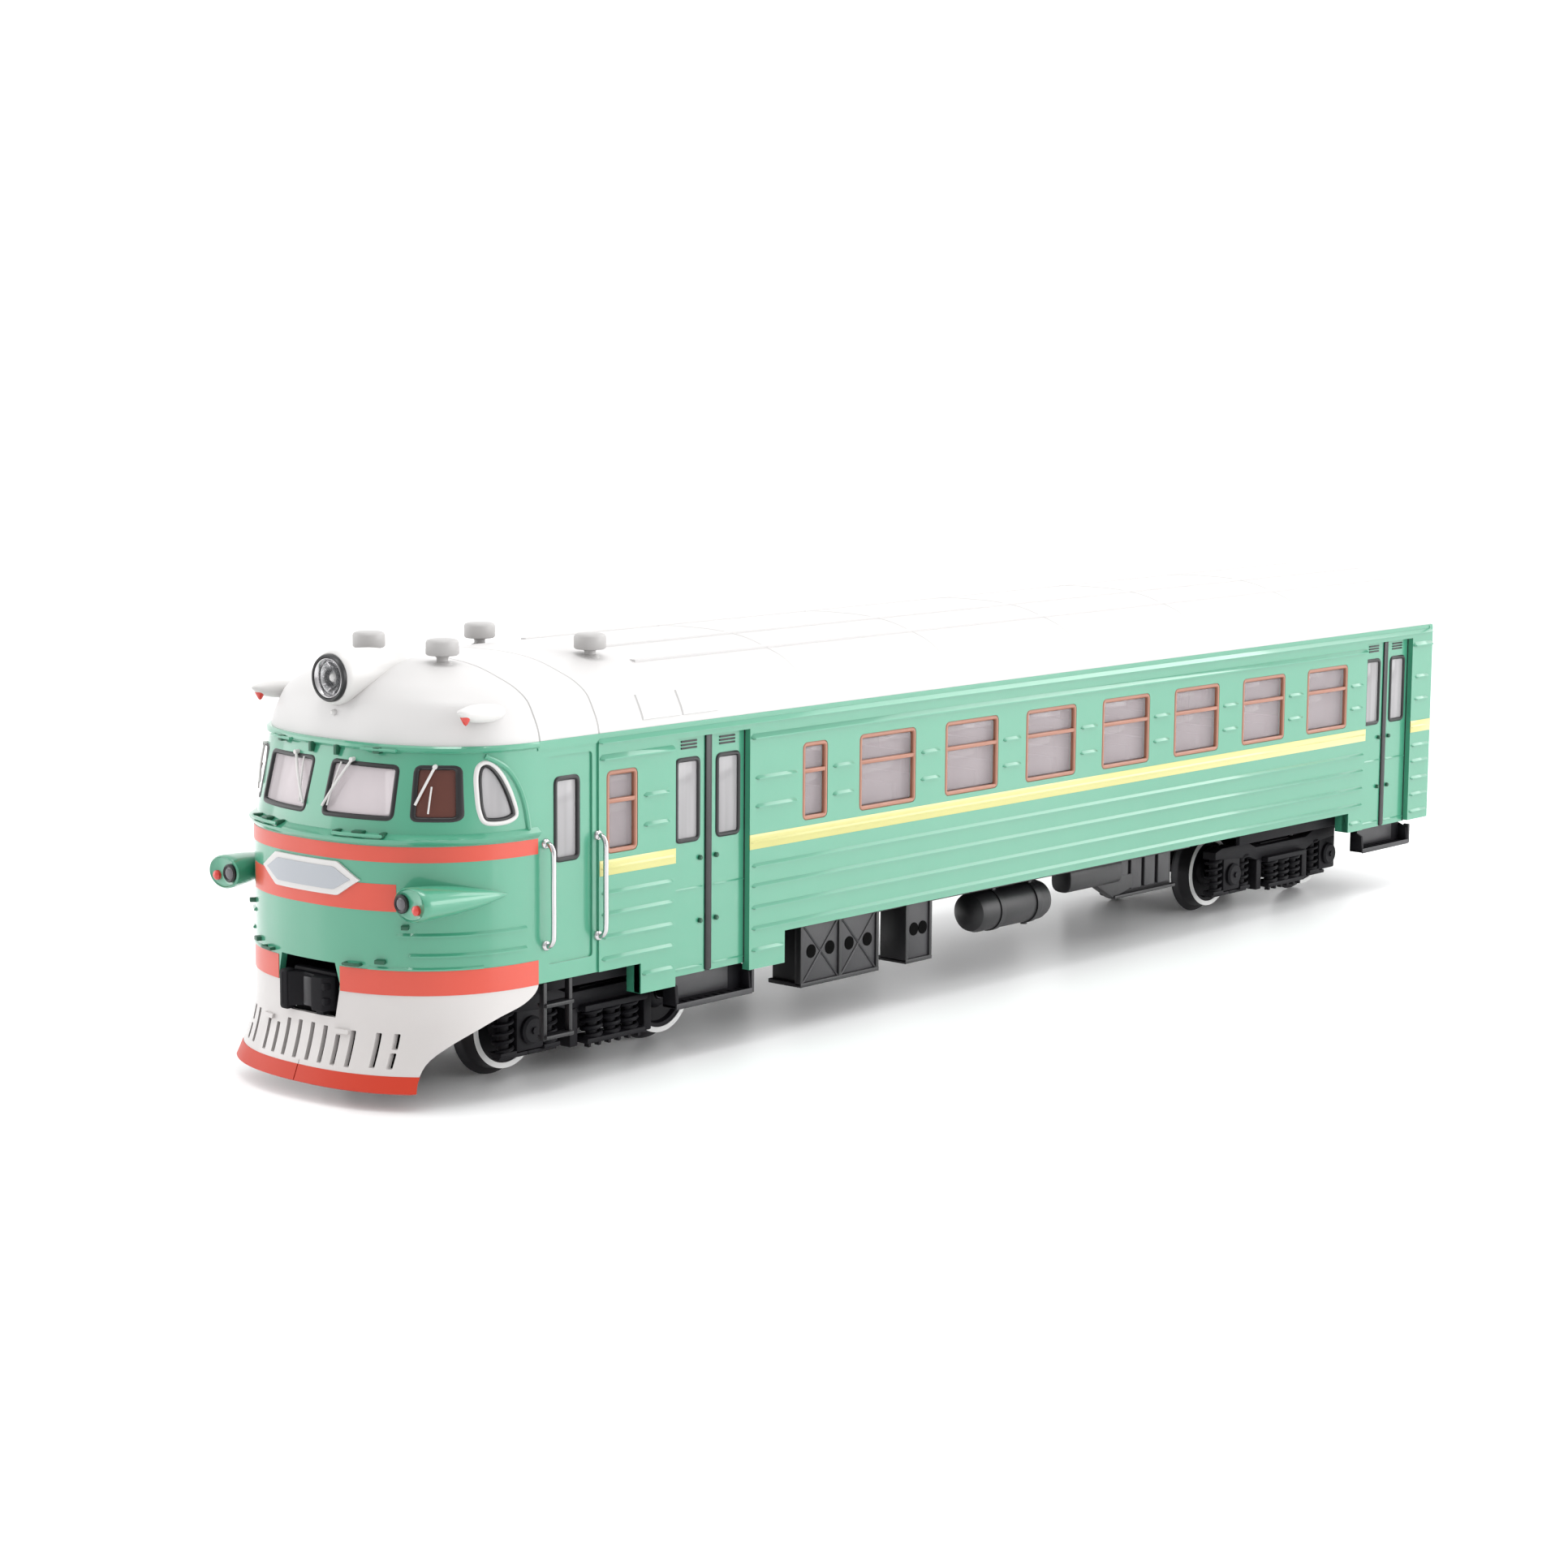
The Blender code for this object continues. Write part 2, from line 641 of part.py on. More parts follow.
def make_cab():
    """The cab's back wall with its floor, desk and chair, as one moulding."""
    x = CAB_BACK_X
    floor_z = CHASSIS_Z[1] + GAP
    wall = box((x, -CAB_HALF, floor_z), (x + 1.0, CAB_HALF, 40.6))
    cab = add_object("cab_interior", wall, "brown_interior")
    foot = floor_z + 0.5
    desk = [(x + 13, foot), (x + 24, foot), (x + 24, 29.6), (x + 19, 31.2), (x + 16, 29.0), (x + 16, 24.0)]
    chair = [(x + 4, foot), (x + 10, foot), (x + 10, 23.4), (x + 6, 23.4), (x + 5.4, 34.0), (x + 4, 34.0)]
    pieces = (
        box((x + 0.4, -CAB_HALF, floor_z), (x + 18.0, CAB_HALF, floor_z + 1.0)),
        prism(desk, -12, 12, "Y"),
        prism(chair, 4, 11, "Y"),
    )
    unite(cab, *(add_helper(f"cab_piece_{i}", bm) for i, bm in enumerate(pieces)))


def make_interior():
    weight = box((WEIGHT_X[0], -13, CHASSIS_Z[1] + GAP), (WEIGHT_X[1], 13, SEAT_FLOOR_Z[0] - GAP))
    add_object("ballast_weight", weight, "steel")
    make_seats()
    make_cab()
    board = add_object("lighting_board", box((-104, -6, BOARD_Z), (88, 6, BOARD_Z + 1.0)), "board_green")
    post_ends = (BOARD_Z + 0.6, BOARD_Z + 4.1)
    posts = [cylinder((x, 0, post_ends[0]), (x, 0, post_ends[1]), 1.4, segments=12) for x in (-95, -8, 80)]
    lamps = [
        box((x - 1.2, -1.2, BOARD_Z - 0.8), (x + 1.2, 1.2, BOARD_Z + 0.4))
        for x in range(-80, 65, 36)
    ]
    unite(board, *(add_helper(f"board_piece_{i}", bm) for i, bm in enumerate(posts + lamps)))


def make_underframe():
    """Battery boxes, a resistor box and an air reservoir under each side of the floor."""
    top_z = CHASSIS_Z[0] - GAP
    low_x, high_x, radius = AIR_RESERVOIR
    profile = [
        (0, low_x),
        (radius * 0.6, low_x + 0.3),
        (radius, low_x + 1.5),
        (radius, high_x - 1.5),
        (radius * 0.6, high_x - 0.3),
        (0, high_x),
    ]
    for side, sign in (("left", 1), ("right", -1)):
        plate = side_box(sign, (-46.6, 12.6, 12.2), (43.6, 18.4, top_z))
        equipment = add_object(f"underframe_equipment_{side}", plate, "black_plastic")
        pieces = [
            side_box(sign, (28.15, 14.0, 4.6), (43.3, 18.9, 12.6)),
            side_box(sign, (16.8, 14.8, 4.6), (21.5, 18.9, 12.6)),
            side_box(sign, (-46.2, 12.8, 6.2), (-31.0, 15.6, 12.6)),
            side_box(sign, (-31.2, 13.8, 8.8), (-18.0, 17.0, 12.6)),
        ]
        unite(equipment, *(add_helper(f"underframe_piece_{side}_{i}", bm) for i, bm in enumerate(pieces)))
        tank = lathe(profile, (0, sign * 15.4, 8.6), "X")
        add_object(f"air_reservoir_{side}", tank, "black_plastic")


def axle_places():
    return ((1, WHEELBASE / 2), (2, -WHEELBASE / 2))


def make_bogie(end, pivot_x, first_axle):
    """A bogie frame on its pivot, with two wheelsets turning in it."""
    pivot = add_empty(f"{end}_bogie_pivot", (pivot_x, 0, 0))
    bolster = box((-4.2, -13.4, 7.2), (4.2, 13.4, 9.2))
    frame = add_object(f"{end}_bogie_frame", bolster, "black_plastic", pivot)
    pieces = [cylinder((0, 0, 7.6), (0, 0, CHASSIS_Z[0] - GAP), 4.2)]
    half_beam = [(5.2, 9.8), (7.0, 8.4), (18.4, 8.0), (18.4, 6.6), (15.2, 4.4), (7.6, 4.4), (5.4, 2.6)]
    beam = half_beam + [(-x, z) for x, z in reversed(half_beam)]
    bearings = bmesh.new()
    for sign in (1, -1):
        ys = sorted((sign * FRAME_INNER_Y, sign * FRAME_OUTER_Y))
        pieces.append(prism(beam, ys[0], ys[1], "Y"))
        for _, x in axle_places():
            low = (x - 2.4, ys[0] + 0.01, 2.8)
            pieces.append(box(low, (x + 2.4, ys[1] - 0.01, 8.4)))
            bore = sorted((sign * (FRAME_INNER_Y - 0.5), sign * (AXLE_HALF_LENGTH + GAP)))
            ends = ((x, bore[0], AXLE_Z), (x, bore[1], AXLE_Z))
            cylinder(*ends, AXLE_RADIUS + GAP, segments=16, bm=bearings)
    unite(frame, *(add_helper(f"{end}_bogie_piece_{i}", bm, pivot) for i, bm in enumerate(pieces)))
    screw_hole = cylinder((0, 0, 0), (0, 0, 20), PIVOT_SCREW_RADIUS + GAP)
    cut(
        frame,
        add_helper(f"{end}_bearing_cut", bearings, pivot),
        add_helper(f"{end}_screw_cut", screw_hole, pivot),
    )
    low_z = 7.2 - GAP
    screw = [
        (0, low_z - 1.3),
        (2.6, low_z - 1.3),
        (2.6, low_z),
        (PIVOT_SCREW_RADIUS, low_z),
        (PIVOT_SCREW_RADIUS, CHASSIS_Z[0] - GAP),
        (0, CHASSIS_Z[0] - GAP),
    ]
    add_object(f"{end}_pivot_screw", lathe(screw, (pivot_x, 0, 0)), "steel")
    for order, x in axle_places():
        make_wheelset(first_axle + order - 1, pivot, x)


def make_wheelset(number, bogie, x):
    centre = add_empty(f"wheelset_{number}_axis", (x, 0, AXLE_Z), bogie)
    half = AXLE_HALF_LENGTH
    axle = [
        (0, -half),
        (0.8, -half),
        (0.8, -GAUGE_BACK - WHEEL_WIDTH),
        (AXLE_RADIUS, -GAUGE_BACK - WHEEL_WIDTH),
        (AXLE_RADIUS, GAUGE_BACK + WHEEL_WIDTH),
        (0.8, GAUGE_BACK + WHEEL_WIDTH),
        (0.8, half),
        (0, half),
    ]
    add_object(f"axle_{number}", lathe(axle, axis="Y", segments=16), "steel", centre)
    bore = AXLE_RADIUS + 0.15
    back = GAUGE_BACK
    face = GAUGE_BACK + WHEEL_WIDTH
    profile = [
        (bore, back),
        (5.4, back),
        (FLANGE_RADIUS, back + 0.25),
        (FLANGE_RADIUS, back + 0.55),
        (TREAD_RADIUS + 0.08, back + 0.9),
        (TREAD_RADIUS, face),
        (4.3, face),
        (3.9, face - 0.8),
        (2.2, face - 0.8),
        (2.0, face),
        (bore, face),
    ]
    for side, sign in (("left", 1), ("right", -1)):
        turned = [(r, sign * h) for r, h in profile]
        wheel = lathe(turned, axis="Y", segments=28)
        add_object(f"wheel_{number}_{side}", wheel, "steel", centre)


def make_coupler(end, pivot_x, tip_x, shank_z, head_z, head_depth):
    """A coupler that swings on the chassis pin: an eye, a shank and a head."""
    pivot = add_empty(f"{end}_coupler_pivot", (pivot_x, 0, 0))
    reach = tip_x - pivot_x
    sign = math.copysign(1, reach)
    head_start = reach - sign * head_depth
    eye = cylinder((0, 0, shank_z[0]), (0, 0, shank_z[1]), 2.8)
    coupler = add_object(f"{end}_coupler", eye, "black_plastic", pivot)
    ends = sorted((sign * 2.2, head_start + sign * 0.5))
    shank = box((ends[0], -1.3, shank_z[0] + 0.1), (ends[1], 1.3, shank_z[1] - 0.1))
    ends = sorted((head_start, reach))
    head = box((ends[0], -3.8, head_z[0]), (ends[1], 3.8, head_z[1]))
    pieces = (shank, head)
    unite(coupler, *(add_helper(f"{end}_coupler_piece_{i}", bm, pivot) for i, bm in enumerate(pieces)))
    hole = cylinder((0, 0, 0), (0, 0, 20), COUPLER_PIN_RADIUS + GAP)
    cut(coupler, add_helper(f"{end}_coupler_hole", hole, pivot))


def main():
    clear_scene()
    make_body_shell()
    make_roof()
    make_headlight()
    make_roof_vents()
    make_lamps()
    make_glazing()
    make_gangway()
    make_skirt()
    make_handrails()
    make_wipers()
    make_ladders()
    make_chassis()
    make_interior()
    make_underframe()
    make_bogie("front", FRONT_BOGIE_X, 1)
    make_bogie("rear", REAR_BOGIE_X, 3)
    make_coupler("front", FRONT_COUPLER_X, FRONT_COUPLER_TIP_X, (10.6, 12.8), (9.4, 14.3), 3.6)
    make_coupler("rear", REAR_COUPLER_X, REAR_COUPLER_TIP_X, (6.4, 8.8), (5.4, 9.4), 3.2)


main()
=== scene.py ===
import math

import bmesh
import bpy
from mathutils import Matrix, Vector


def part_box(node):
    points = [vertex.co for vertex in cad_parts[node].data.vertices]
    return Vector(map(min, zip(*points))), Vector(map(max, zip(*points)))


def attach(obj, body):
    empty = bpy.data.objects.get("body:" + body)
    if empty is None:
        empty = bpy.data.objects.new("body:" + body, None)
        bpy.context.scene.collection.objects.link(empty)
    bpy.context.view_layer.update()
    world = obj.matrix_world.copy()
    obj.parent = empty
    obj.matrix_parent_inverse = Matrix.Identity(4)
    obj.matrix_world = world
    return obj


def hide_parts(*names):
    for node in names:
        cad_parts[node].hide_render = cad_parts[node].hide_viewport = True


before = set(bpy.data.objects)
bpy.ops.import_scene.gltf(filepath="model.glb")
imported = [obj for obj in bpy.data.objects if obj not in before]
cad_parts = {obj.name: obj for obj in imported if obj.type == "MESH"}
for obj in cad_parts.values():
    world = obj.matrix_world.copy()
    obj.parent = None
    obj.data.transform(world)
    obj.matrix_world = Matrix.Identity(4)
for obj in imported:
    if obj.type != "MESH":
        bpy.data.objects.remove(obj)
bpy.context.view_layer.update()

MM = 0.001
PER_METRE = 1000.0

# Body
NOSE_TIP_X = 111.6
POCKET_Z = 8.7  # lower edge of the front door pocket
SHELL_LOW, SHELL_HIGH = (corner * PER_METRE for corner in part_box("body_shell"))
DATUM = Vector((SHELL_HIGH.x - NOSE_TIP_X, 0.0, SHELL_LOW.z - POCKET_Z))
HALF_WIDTH = SHELL_HIGH.y
REAR_X = SHELL_LOW.x - DATUM.x
NOSE_START_X = 92.9
NOSE_POWER = 2.35  # exponent of the superellipse that the nose follows in plan
LEDGE_Z = 31.0  # the windscreen leans back from here
LEDGE_STEP = 0.6
WINDSCREEN_LEAN = 0.30
CAB_END_X = 82.8  # the passenger wall starts here, a little proud of the cab
CAB_SILL_Z = 12.5
SILL_Z = 12.9
REAR_SILL_Z = 9.8
GUTTER_Z = 41.6
CORNICE_Z = 40.5
WALL = 0.9
PROUD = 0.25  # passenger wall over the cab wall
WALL_FACE = HALF_WIDTH + PROUD
DOOR_FACE = WALL_FACE - 0.95
SIDES = (("left", 1), ("right", -1))

# Openings in the side, as (low X, high X), and their heights
WINDOW_WIDTH = 11.85
WINDOW_PITCH = 18.15
WINDOW_COUNT = 7
FIRST_WINDOW_X = 27.85
WINDOW_Z = (26.8, 36.95)
TRANSOM_Z = 33.2
SMALL_WINDOW_X = (40.2, 45.2)
FRONT_WINDOW_X = (76.0, 81.5)
CAB_WINDOW_X = (85.7, 89.9)
FRONT_DOOR_X = (55.4, 69.2)
REAR_DOOR_X = (-106.7, -92.8)
DOOR_Z = (9.6, 39.7)
DOOR_WINDOW_Z = (26.45, 36.95)
FRONT_POCKET_X = (48.5, 75.45)  # the wall hangs lower round each door
REAR_POCKET_X = -88.4
YELLOW_Z = (24.2, 26.1)
RIBS_Z = (11.2, 14.0, 16.7, 19.5, 22.1, 29.7, 33.35)
DRIP_RIB_Z = 38.6

# Nose, as (Y, Z) corners on the left side
MAIN_SCREEN = ((1.35, 32.8), (11.65, 32.85), (11.3, 39.4), (1.35, 39.55))
CORNER_SCREEN = ((13.2, 32.85), (17.8, 32.8), (17.2, 39.5), (12.7, 39.5))
QUARTER_WINDOW = (  # (X, Z) points round a smooth teardrop
    (95.9, 33.3), (96.9, 32.4), (98.9, 32.15), (100.6, 32.5), (101.25, 34.0), (101.4, 36.2), (101.35, 38.2),
    (100.9, 39.5), (99.9, 39.95), (98.8, 39.4), (97.6, 37.8), (96.5, 35.5),
)
UPPER_RED_Z = (28.2, 30.05)
LOWER_RED_Z = (22.4, 25.6)
RED_BAND_Z = (12.45, 15.4)
WIPERS = (  # an arm and the blade hinged to it, each as its (Y, Z) top and foot
    (((4.9, 39.6), (1.7, 34.0)), ((3.3, 39.2), (2.4, 34.1))),
    (((14.9, 39.3), (13.6, 34.9)), ((14.86, 37.0), (14.9, 33.9))),
)
COUPLER_OPENING = ((-4.8, 15.7), (4.7, 15.7), (5.4, 13.2), (4.6, 9.1), (-4.6, 9.1), (-5.4, 13.2))

# Roof: half width, X of the domed front and height of each level
ROOF_LEVELS = (
    (20.0, 107.6, 41.6),
    (19.7, 107.3, 42.9),
    (18.9, 106.8, 44.6),
    (17.8, 106.0, 46.3),
    (15.8, 104.6, 47.6),
    (13.4, 103.0, 48.5),
    (9.7, 100.6, 49.6),
    (6.0, 98.4, 50.15),
    (2.5, 96.0, 50.35),
)
ROOF_SEAMS_X = (92.5, 82.5)

# Skirt: its rear edge as (X, Z) points, and its slots as (Y, low Z, high Z)
SKIRT_EDGE = (
    (92.8, 12.5), (93.4, 11.5), (95.3, 10.4), (98.5, 9.4), (101.2, 8.3),
    (104.3, 6.8), (106.9, 5.0), (108.3, 3.1), (109.1, 1.3), (109.4, 0),
)
SKIRT_SLOTS = (
    (1.1, 3.7, 8.1), (3.25, 3.7, 8.0), (5.3, 3.7, 7.2), (7.4, 3.7, 7.9),
    (10.6, 3.9, 7.9), (12.6, 3.9, 5.7), (12.6, 6.1, 7.9),
)

# Lamps
HEADLIGHT_Z = 48.73
MARKER_LAMP = (102.9, 18.2, 45.5)
BUFFER_LAMP = (110.2, 16.6, 23.9)

# Running gear
AXLE_Z = 5.5
WHEELBASE = 27.6
BOGIE_X = {"front": 75.0, "rear": -77.9}
FRAME_Y = (12.2, 14.6)
FRAME_REACH_BACK = {"front": 7.6, "rear": 15.8}  # the side frames clear the door steps
CHASSIS_Z = (13.4, 14.9)
COUPLER_PINS = ((99.0, 9.6), (-103.5, 5.4))  # X and foot of the pins that the couplers swing on
DOOR_STEPS = ((54.2, 68.6, 5.6), (-108.0, -93.6, 5.9))  # low X, high X and height of the tread

# Camera, in metres and degrees
CAMERA_PLACE = (0.370993, 0.298102, 0.09416)
CAMERA_YAW, CAMERA_PITCH, CAMERA_ROLL = 220.938, -8.208, 0.411  # degrees
CAMERA_LENS = 76.92
KEY_DIRECTION = (0.745, 0.64, 0.18)  # where the photographed side faces the dimmed part of the studio


# ---------------------------------------------------------------- materials


def finish_of(name, colour, roughness, metallic=0.0, tone=0.05, grain=0.05, bump=0.01,
              size=0.7, coat=0.0, alpha=1.0, shine=0.5, stretch=1.0):
    """A Principled material whose colour, gloss and surface vary at a size given in millimetres.

    A stretch below 1 draws the pattern out into upright streaks."""
    made = bpy.data.materials.new(name)
    made.use_nodes = True
    tree = made.node_tree
    shader = tree.nodes["Principled BSDF"]
    settings = {
        "Metallic": metallic, "Coat Weight": coat, "Coat Roughness": 0.08,
        "Alpha": alpha, "Specular IOR Level": shine,
    }
    for socket, value in settings.items():
        shader.inputs[socket].default_value = value
    mapping = tree.nodes.new("ShaderNodeMapping")
    mapping.inputs["Scale"].default_value = (1.0, 1.0, stretch)
    tree.links.new(tree.nodes.new("ShaderNodeTexCoord").outputs["Object"], mapping.inputs["Vector"])
    place = mapping.outputs["Vector"]

    def noise(scale, detail):
        node = tree.nodes.new("ShaderNodeTexNoise")
        node.inputs["Scale"].default_value = scale
        node.inputs["Detail"].default_value = detail
        tree.links.new(place, node.inputs["Vector"])
        return node.outputs["Fac"]

    blend = tree.nodes.new("ShaderNodeMix")
    blend.data_type = "RGBA"
    blend.inputs["A"].default_value = (*(c * (1 - tone) for c in colour), 1.0)
    blend.inputs["B"].default_value = (*(min(c * (1 + tone), 1.0) for c in colour), 1.0)
    tree.links.new(noise(PER_METRE / (size * 12), 3.0), blend.inputs["Factor"])
    tree.links.new(blend.outputs["Result"], shader.inputs["Base Color"])

    gloss = tree.nodes.new("ShaderNodeMapRange")
    gloss.inputs["To Min"].default_value = max(roughness - grain, 0.02)
    gloss.inputs["To Max"].default_value = roughness + grain
    tree.links.new(noise(PER_METRE / (size * 4), 4.0), gloss.inputs["Value"])
    tree.links.new(gloss.outputs["Result"], shader.inputs["Roughness"])

    relief = tree.nodes.new("ShaderNodeBump")
    relief.inputs["Strength"].default_value = 0.5
    relief.inputs["Distance"].default_value = bump * MM
    tree.links.new(noise(PER_METRE / size, 2.0), relief.inputs["Height"])
    tree.links.new(relief.outputs["Normal"], shader.inputs["Normal"])
    return made


GREEN = finish_of("mint_paint", (0.052, 0.284, 0.173), 0.32, tone=0.03, coat=0.9)
DARK_GREEN = finish_of("shaded_green", (0.010, 0.085, 0.045), 0.4)
WHITE = finish_of("roof_white", (0.57, 0.56, 0.555), 0.42, tone=0.015)
TRIM = finish_of("trim_white", (0.60, 0.59, 0.58), 0.36, tone=0.02)
SKIRT = finish_of("skirt_white", (0.545, 0.52, 0.51), 0.38, tone=0.03, coat=0.3)
RED = finish_of("red_paint", (0.575, 0.060, 0.032), 0.36, tone=0.04, coat=0.25)
YELLOW = finish_of("yellow_paint", (0.54, 0.515, 0.165), 0.36, tone=0.03, coat=0.8)
COPPER = finish_of("copper_paint", (0.34, 0.14, 0.085), 0.40, tone=0.12, coat=0.3)
BLACK = finish_of("black_plastic", (0.0065, 0.006, 0.0075), 0.42, tone=0.25, bump=0.02)
# Painted shadow: a near-black with no gloss, for the sheet seen through the skirt's slots and the discs
# drawn for the boxes' holes.
SHADOW_BLACK = finish_of("painted_shadow_black", (0.0015, 0.0015, 0.0015), 0.8, tone=0.2, shine=0.05)
# Dull black plastic, also darker than the black as painted shade under the body: chassis, coupler and its
# pocket, trucks and wheel centres.
DULL = finish_of("dull_black_painted_shade", (0.0045, 0.004, 0.006), 0.6, tone=0.25, bump=0.02, shine=0.22)
# The skirt's red lip, painted darker than the red as shade on its downward-facing edge.
LIP_RED = finish_of("lip_red_painted_shade", (0.50, 0.040, 0.018), 0.42, tone=0.04, shine=0.25)
# Painted sheen: a grey lighter than the black plastic, for faces that catch the light on the box fronts and
# lumps, step plates, coupler face and headlamp shade ring.
GREY = finish_of("dark_grey_painted_sheen", (0.018, 0.017, 0.02), 0.40, tone=0.2, bump=0.02)
# Black rubber, also used for a painted shadow line at the rear edge of each doorway.
RUBBER_AND_SHADOW = finish_of("black_rubber", (0.006, 0.006, 0.007), 0.34, tone=0.2, bump=0.015, size=0.4)
CHROME = finish_of("chrome", (0.56, 0.55, 0.56), 0.14, metallic=1.0, tone=0.03)
REFLECTOR = finish_of(
    "lamp_reflector", (0.66, 0.66, 0.67), 0.28, metallic=1.0, tone=0.35, bump=0.03, size=0.22
)
STEEL = finish_of("blackened_steel", (0.03, 0.028, 0.032), 0.36, metallic=1.0, tone=0.2)
TREAD = finish_of("wheel_steel", (0.028, 0.027, 0.03), 0.34, metallic=0.6, tone=0.15)
# The wheels' white painted rims, made brighter than the other whites as painted light against the shade
# under the body.
RING = finish_of("wheel_ring_white_painted_light", (0.80, 0.80, 0.79), 0.4, tone=0.03)
GLASS = finish_of(
    "lilac_glazing", (0.53, 0.47, 0.49), 0.10,
    tone=0.08, grain=0.03, bump=0.002, size=1.4, alpha=0.30, stretch=0.15,
)
# The strong upright streaks in the door, cab and quarter glazing are painted reflections.
DOOR_GLASS = finish_of(
    "door_glazing_painted_reflections", (0.42, 0.41, 0.42), 0.10,
    tone=0.75, grain=0.04, bump=0.002, size=0.3, alpha=0.8, stretch=0.06,
)
# The windscreens' glazing: a lilac tint, made pale and near white as a painted reflection of the bright
# studio.
SCREEN = finish_of(
    "windscreen_glazing", (0.86, 0.78, 0.81), 0.08,
    tone=0.07, grain=0.03, bump=0.002, size=1.4, alpha=0.50, stretch=0.3,
)
TINTED = finish_of(
    "corner_glazing", (0.115, 0.04, 0.03), 0.08,
    tone=0.15, grain=0.03, bump=0.002, size=1.4, alpha=0.88, shine=0.4,
)
LENS = finish_of("clear_lens", (0.75, 0.76, 0.78), 0.04, tone=0.08, bump=0.001, alpha=0.04, shine=0.3)
# A grey darker than the roof white, painted shade on the vents' caps and necks.
VENT = finish_of("vent_grey_painted_shade", (0.40, 0.39, 0.385), 0.42, tone=0.04)
DARK_LENS = finish_of("smoked_lens", (0.05, 0.045, 0.055), 0.08, tone=0.2, coat=0.6)
RED_LENS = finish_of("red_lens", (0.55, 0.03, 0.02), 0.12, tone=0.1, coat=0.5)
BROWN = finish_of("brown_moulding", (0.135, 0.038, 0.024), 0.6, tone=0.12, bump=0.03, shine=0.2)
LILAC = finish_of("interior_lilac", (0.46, 0.41, 0.43), 0.6, tone=0.06)
PLATE = finish_of("plate_grey", (0.38, 0.40, 0.43), 0.35, tone=0.04)
BOARD = finish_of("board_green", (0.02, 0.16, 0.06), 0.45, tone=0.15)
STEEL_BRIGHT = finish_of("ballast_steel", (0.45, 0.44, 0.44), 0.38, metallic=1.0, tone=0.15, size=1.5)


# ---------------------------------------------------------------- mesh tools


def paint(bm, index):
    for face in bm.faces:
        face.material_index = index
    return bm


def join(parts):
    """One mesh from (bmesh, material index) pairs or plain bmeshes."""
    whole = bmesh.new()
    for part in parts:
        bm, index = part if isinstance(part, tuple) else (part, None)
        if index is not None:
            paint(bm, index)
        mesh = bpy.data.meshes.new("part")
        bm.to_mesh(mesh)
        bm.free()
        whole.from_mesh(mesh)
        bpy.data.meshes.remove(mesh)
    return whole


def add_piece(name, bm, materials, body="car_body", stands_for=(), crease=35):
    """Makes a piece from a mesh in millimetres from the datum, and hangs it on its body."""
    finishes = materials if isinstance(materials, list) else [materials]
    bmesh.ops.translate(bm, vec=DATUM, verts=bm.verts)
    bmesh.ops.scale(bm, vec=(MM, MM, MM), verts=bm.verts)
    mesh = bpy.data.meshes.new(name)
    bm.to_mesh(mesh)
    bm.free()
    for finish in finishes:
        mesh.materials.append(finish)
    mesh.shade_smooth()
    mesh.set_sharp_from_angle(angle=math.radians(crease))
    obj = bpy.data.objects.new(name, mesh)
    bpy.context.collection.objects.link(obj)
    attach(obj, body)
    if stands_for:
        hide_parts(*stands_for)
    return obj


def outward(bm):
    bmesh.ops.recalc_face_normals(bm, faces=bm.faces)
    return bm


def box(low, high, soft=0.12):
    """A block with softened edges."""
    bm = bmesh.new()
    low, high = Vector(low), Vector(high)
    low, high = Vector(map(min, low, high)), Vector(map(max, low, high))
    place = Matrix.Translation((low + high) / 2) @ Matrix.Diagonal((*(high - low), 1.0))
    bmesh.ops.create_cube(bm, size=1.0, matrix=place)
    return soften(bm, min(soft, min(high - low) * 0.3))


def soften(bm, width, angle=35, segments=2):
    """Rounds the edges that turn by more than the angle."""
    if width <= 0:
        return bm
    sharp = [e for e in bm.edges if len(e.link_faces) == 2 and e.calc_face_angle(0) > math.radians(angle)]
    bmesh.ops.bevel(
        bm, geom=sharp, offset=width, segments=segments, affect="EDGES", profile=0.5, clamp_overlap=True
    )
    return outward(bm)


def loft(rings, capped=True, wrap_rings=False, wrap_points=True):
    """Quads through rings of points, with a cap on the first and the last."""
    bm = bmesh.new()
    made = [[bm.verts.new(point) for point in ring] for ring in rings]
    count = len(made[0])
    for i in range(len(made) if wrap_rings else len(made) - 1):
        here = made[i]
        there = made[(i + 1) % len(made)]
        for j in range(count if wrap_points else count - 1):
            k = (j + 1) % count
            bm.faces.new((here[j], here[k], there[k], there[j]))
    if capped and not wrap_rings and wrap_points:
        bm.faces.new(made[0])
        bm.faces.new(made[-1])
    return outward(bm)


def lathe(profile, place=(0, 0, 0), axis="Z", segments=40, scale=(1, 1, 1)):
    """Turns a run of (radius, height) points, from axis to axis or as a closed ring."""
    turn = {
        "X": Matrix.Rotation(math.pi / 2, 4, "Y"),
        "Y": Matrix.Rotation(-math.pi / 2, 4, "X"),
        "Z": Matrix(),
    }
    bm = bmesh.new()
    rings = []
    for step in range(segments):
        angle = 2 * math.pi * step / segments
        rings.append([bm.verts.new((r * math.cos(angle), r * math.sin(angle), h)) for r, h in profile])
    closed = profile[0][0] > 1e-6
    for i in range(segments):
        here, there = rings[i], rings[(i + 1) % segments]
        for j in range(len(profile) if closed else len(profile) - 1):
            k = (j + 1) % len(profile)
            bm.faces.new((here[j], here[k], there[k], there[j]))
    bmesh.ops.remove_doubles(bm, verts=bm.verts, dist=1e-4)
    move = Matrix.Translation(place) @ Matrix.Diagonal((*scale, 1.0)) @ turn[axis]
    bmesh.ops.transform(bm, matrix=move, verts=bm.verts)
    return outward(bm)


def rod(radius, low, high, place, segments=16):
    """A plain upright cylinder."""
    return lathe([(0, low), (radius, low), (radius, high), (0, high)], place, "Z", segments)


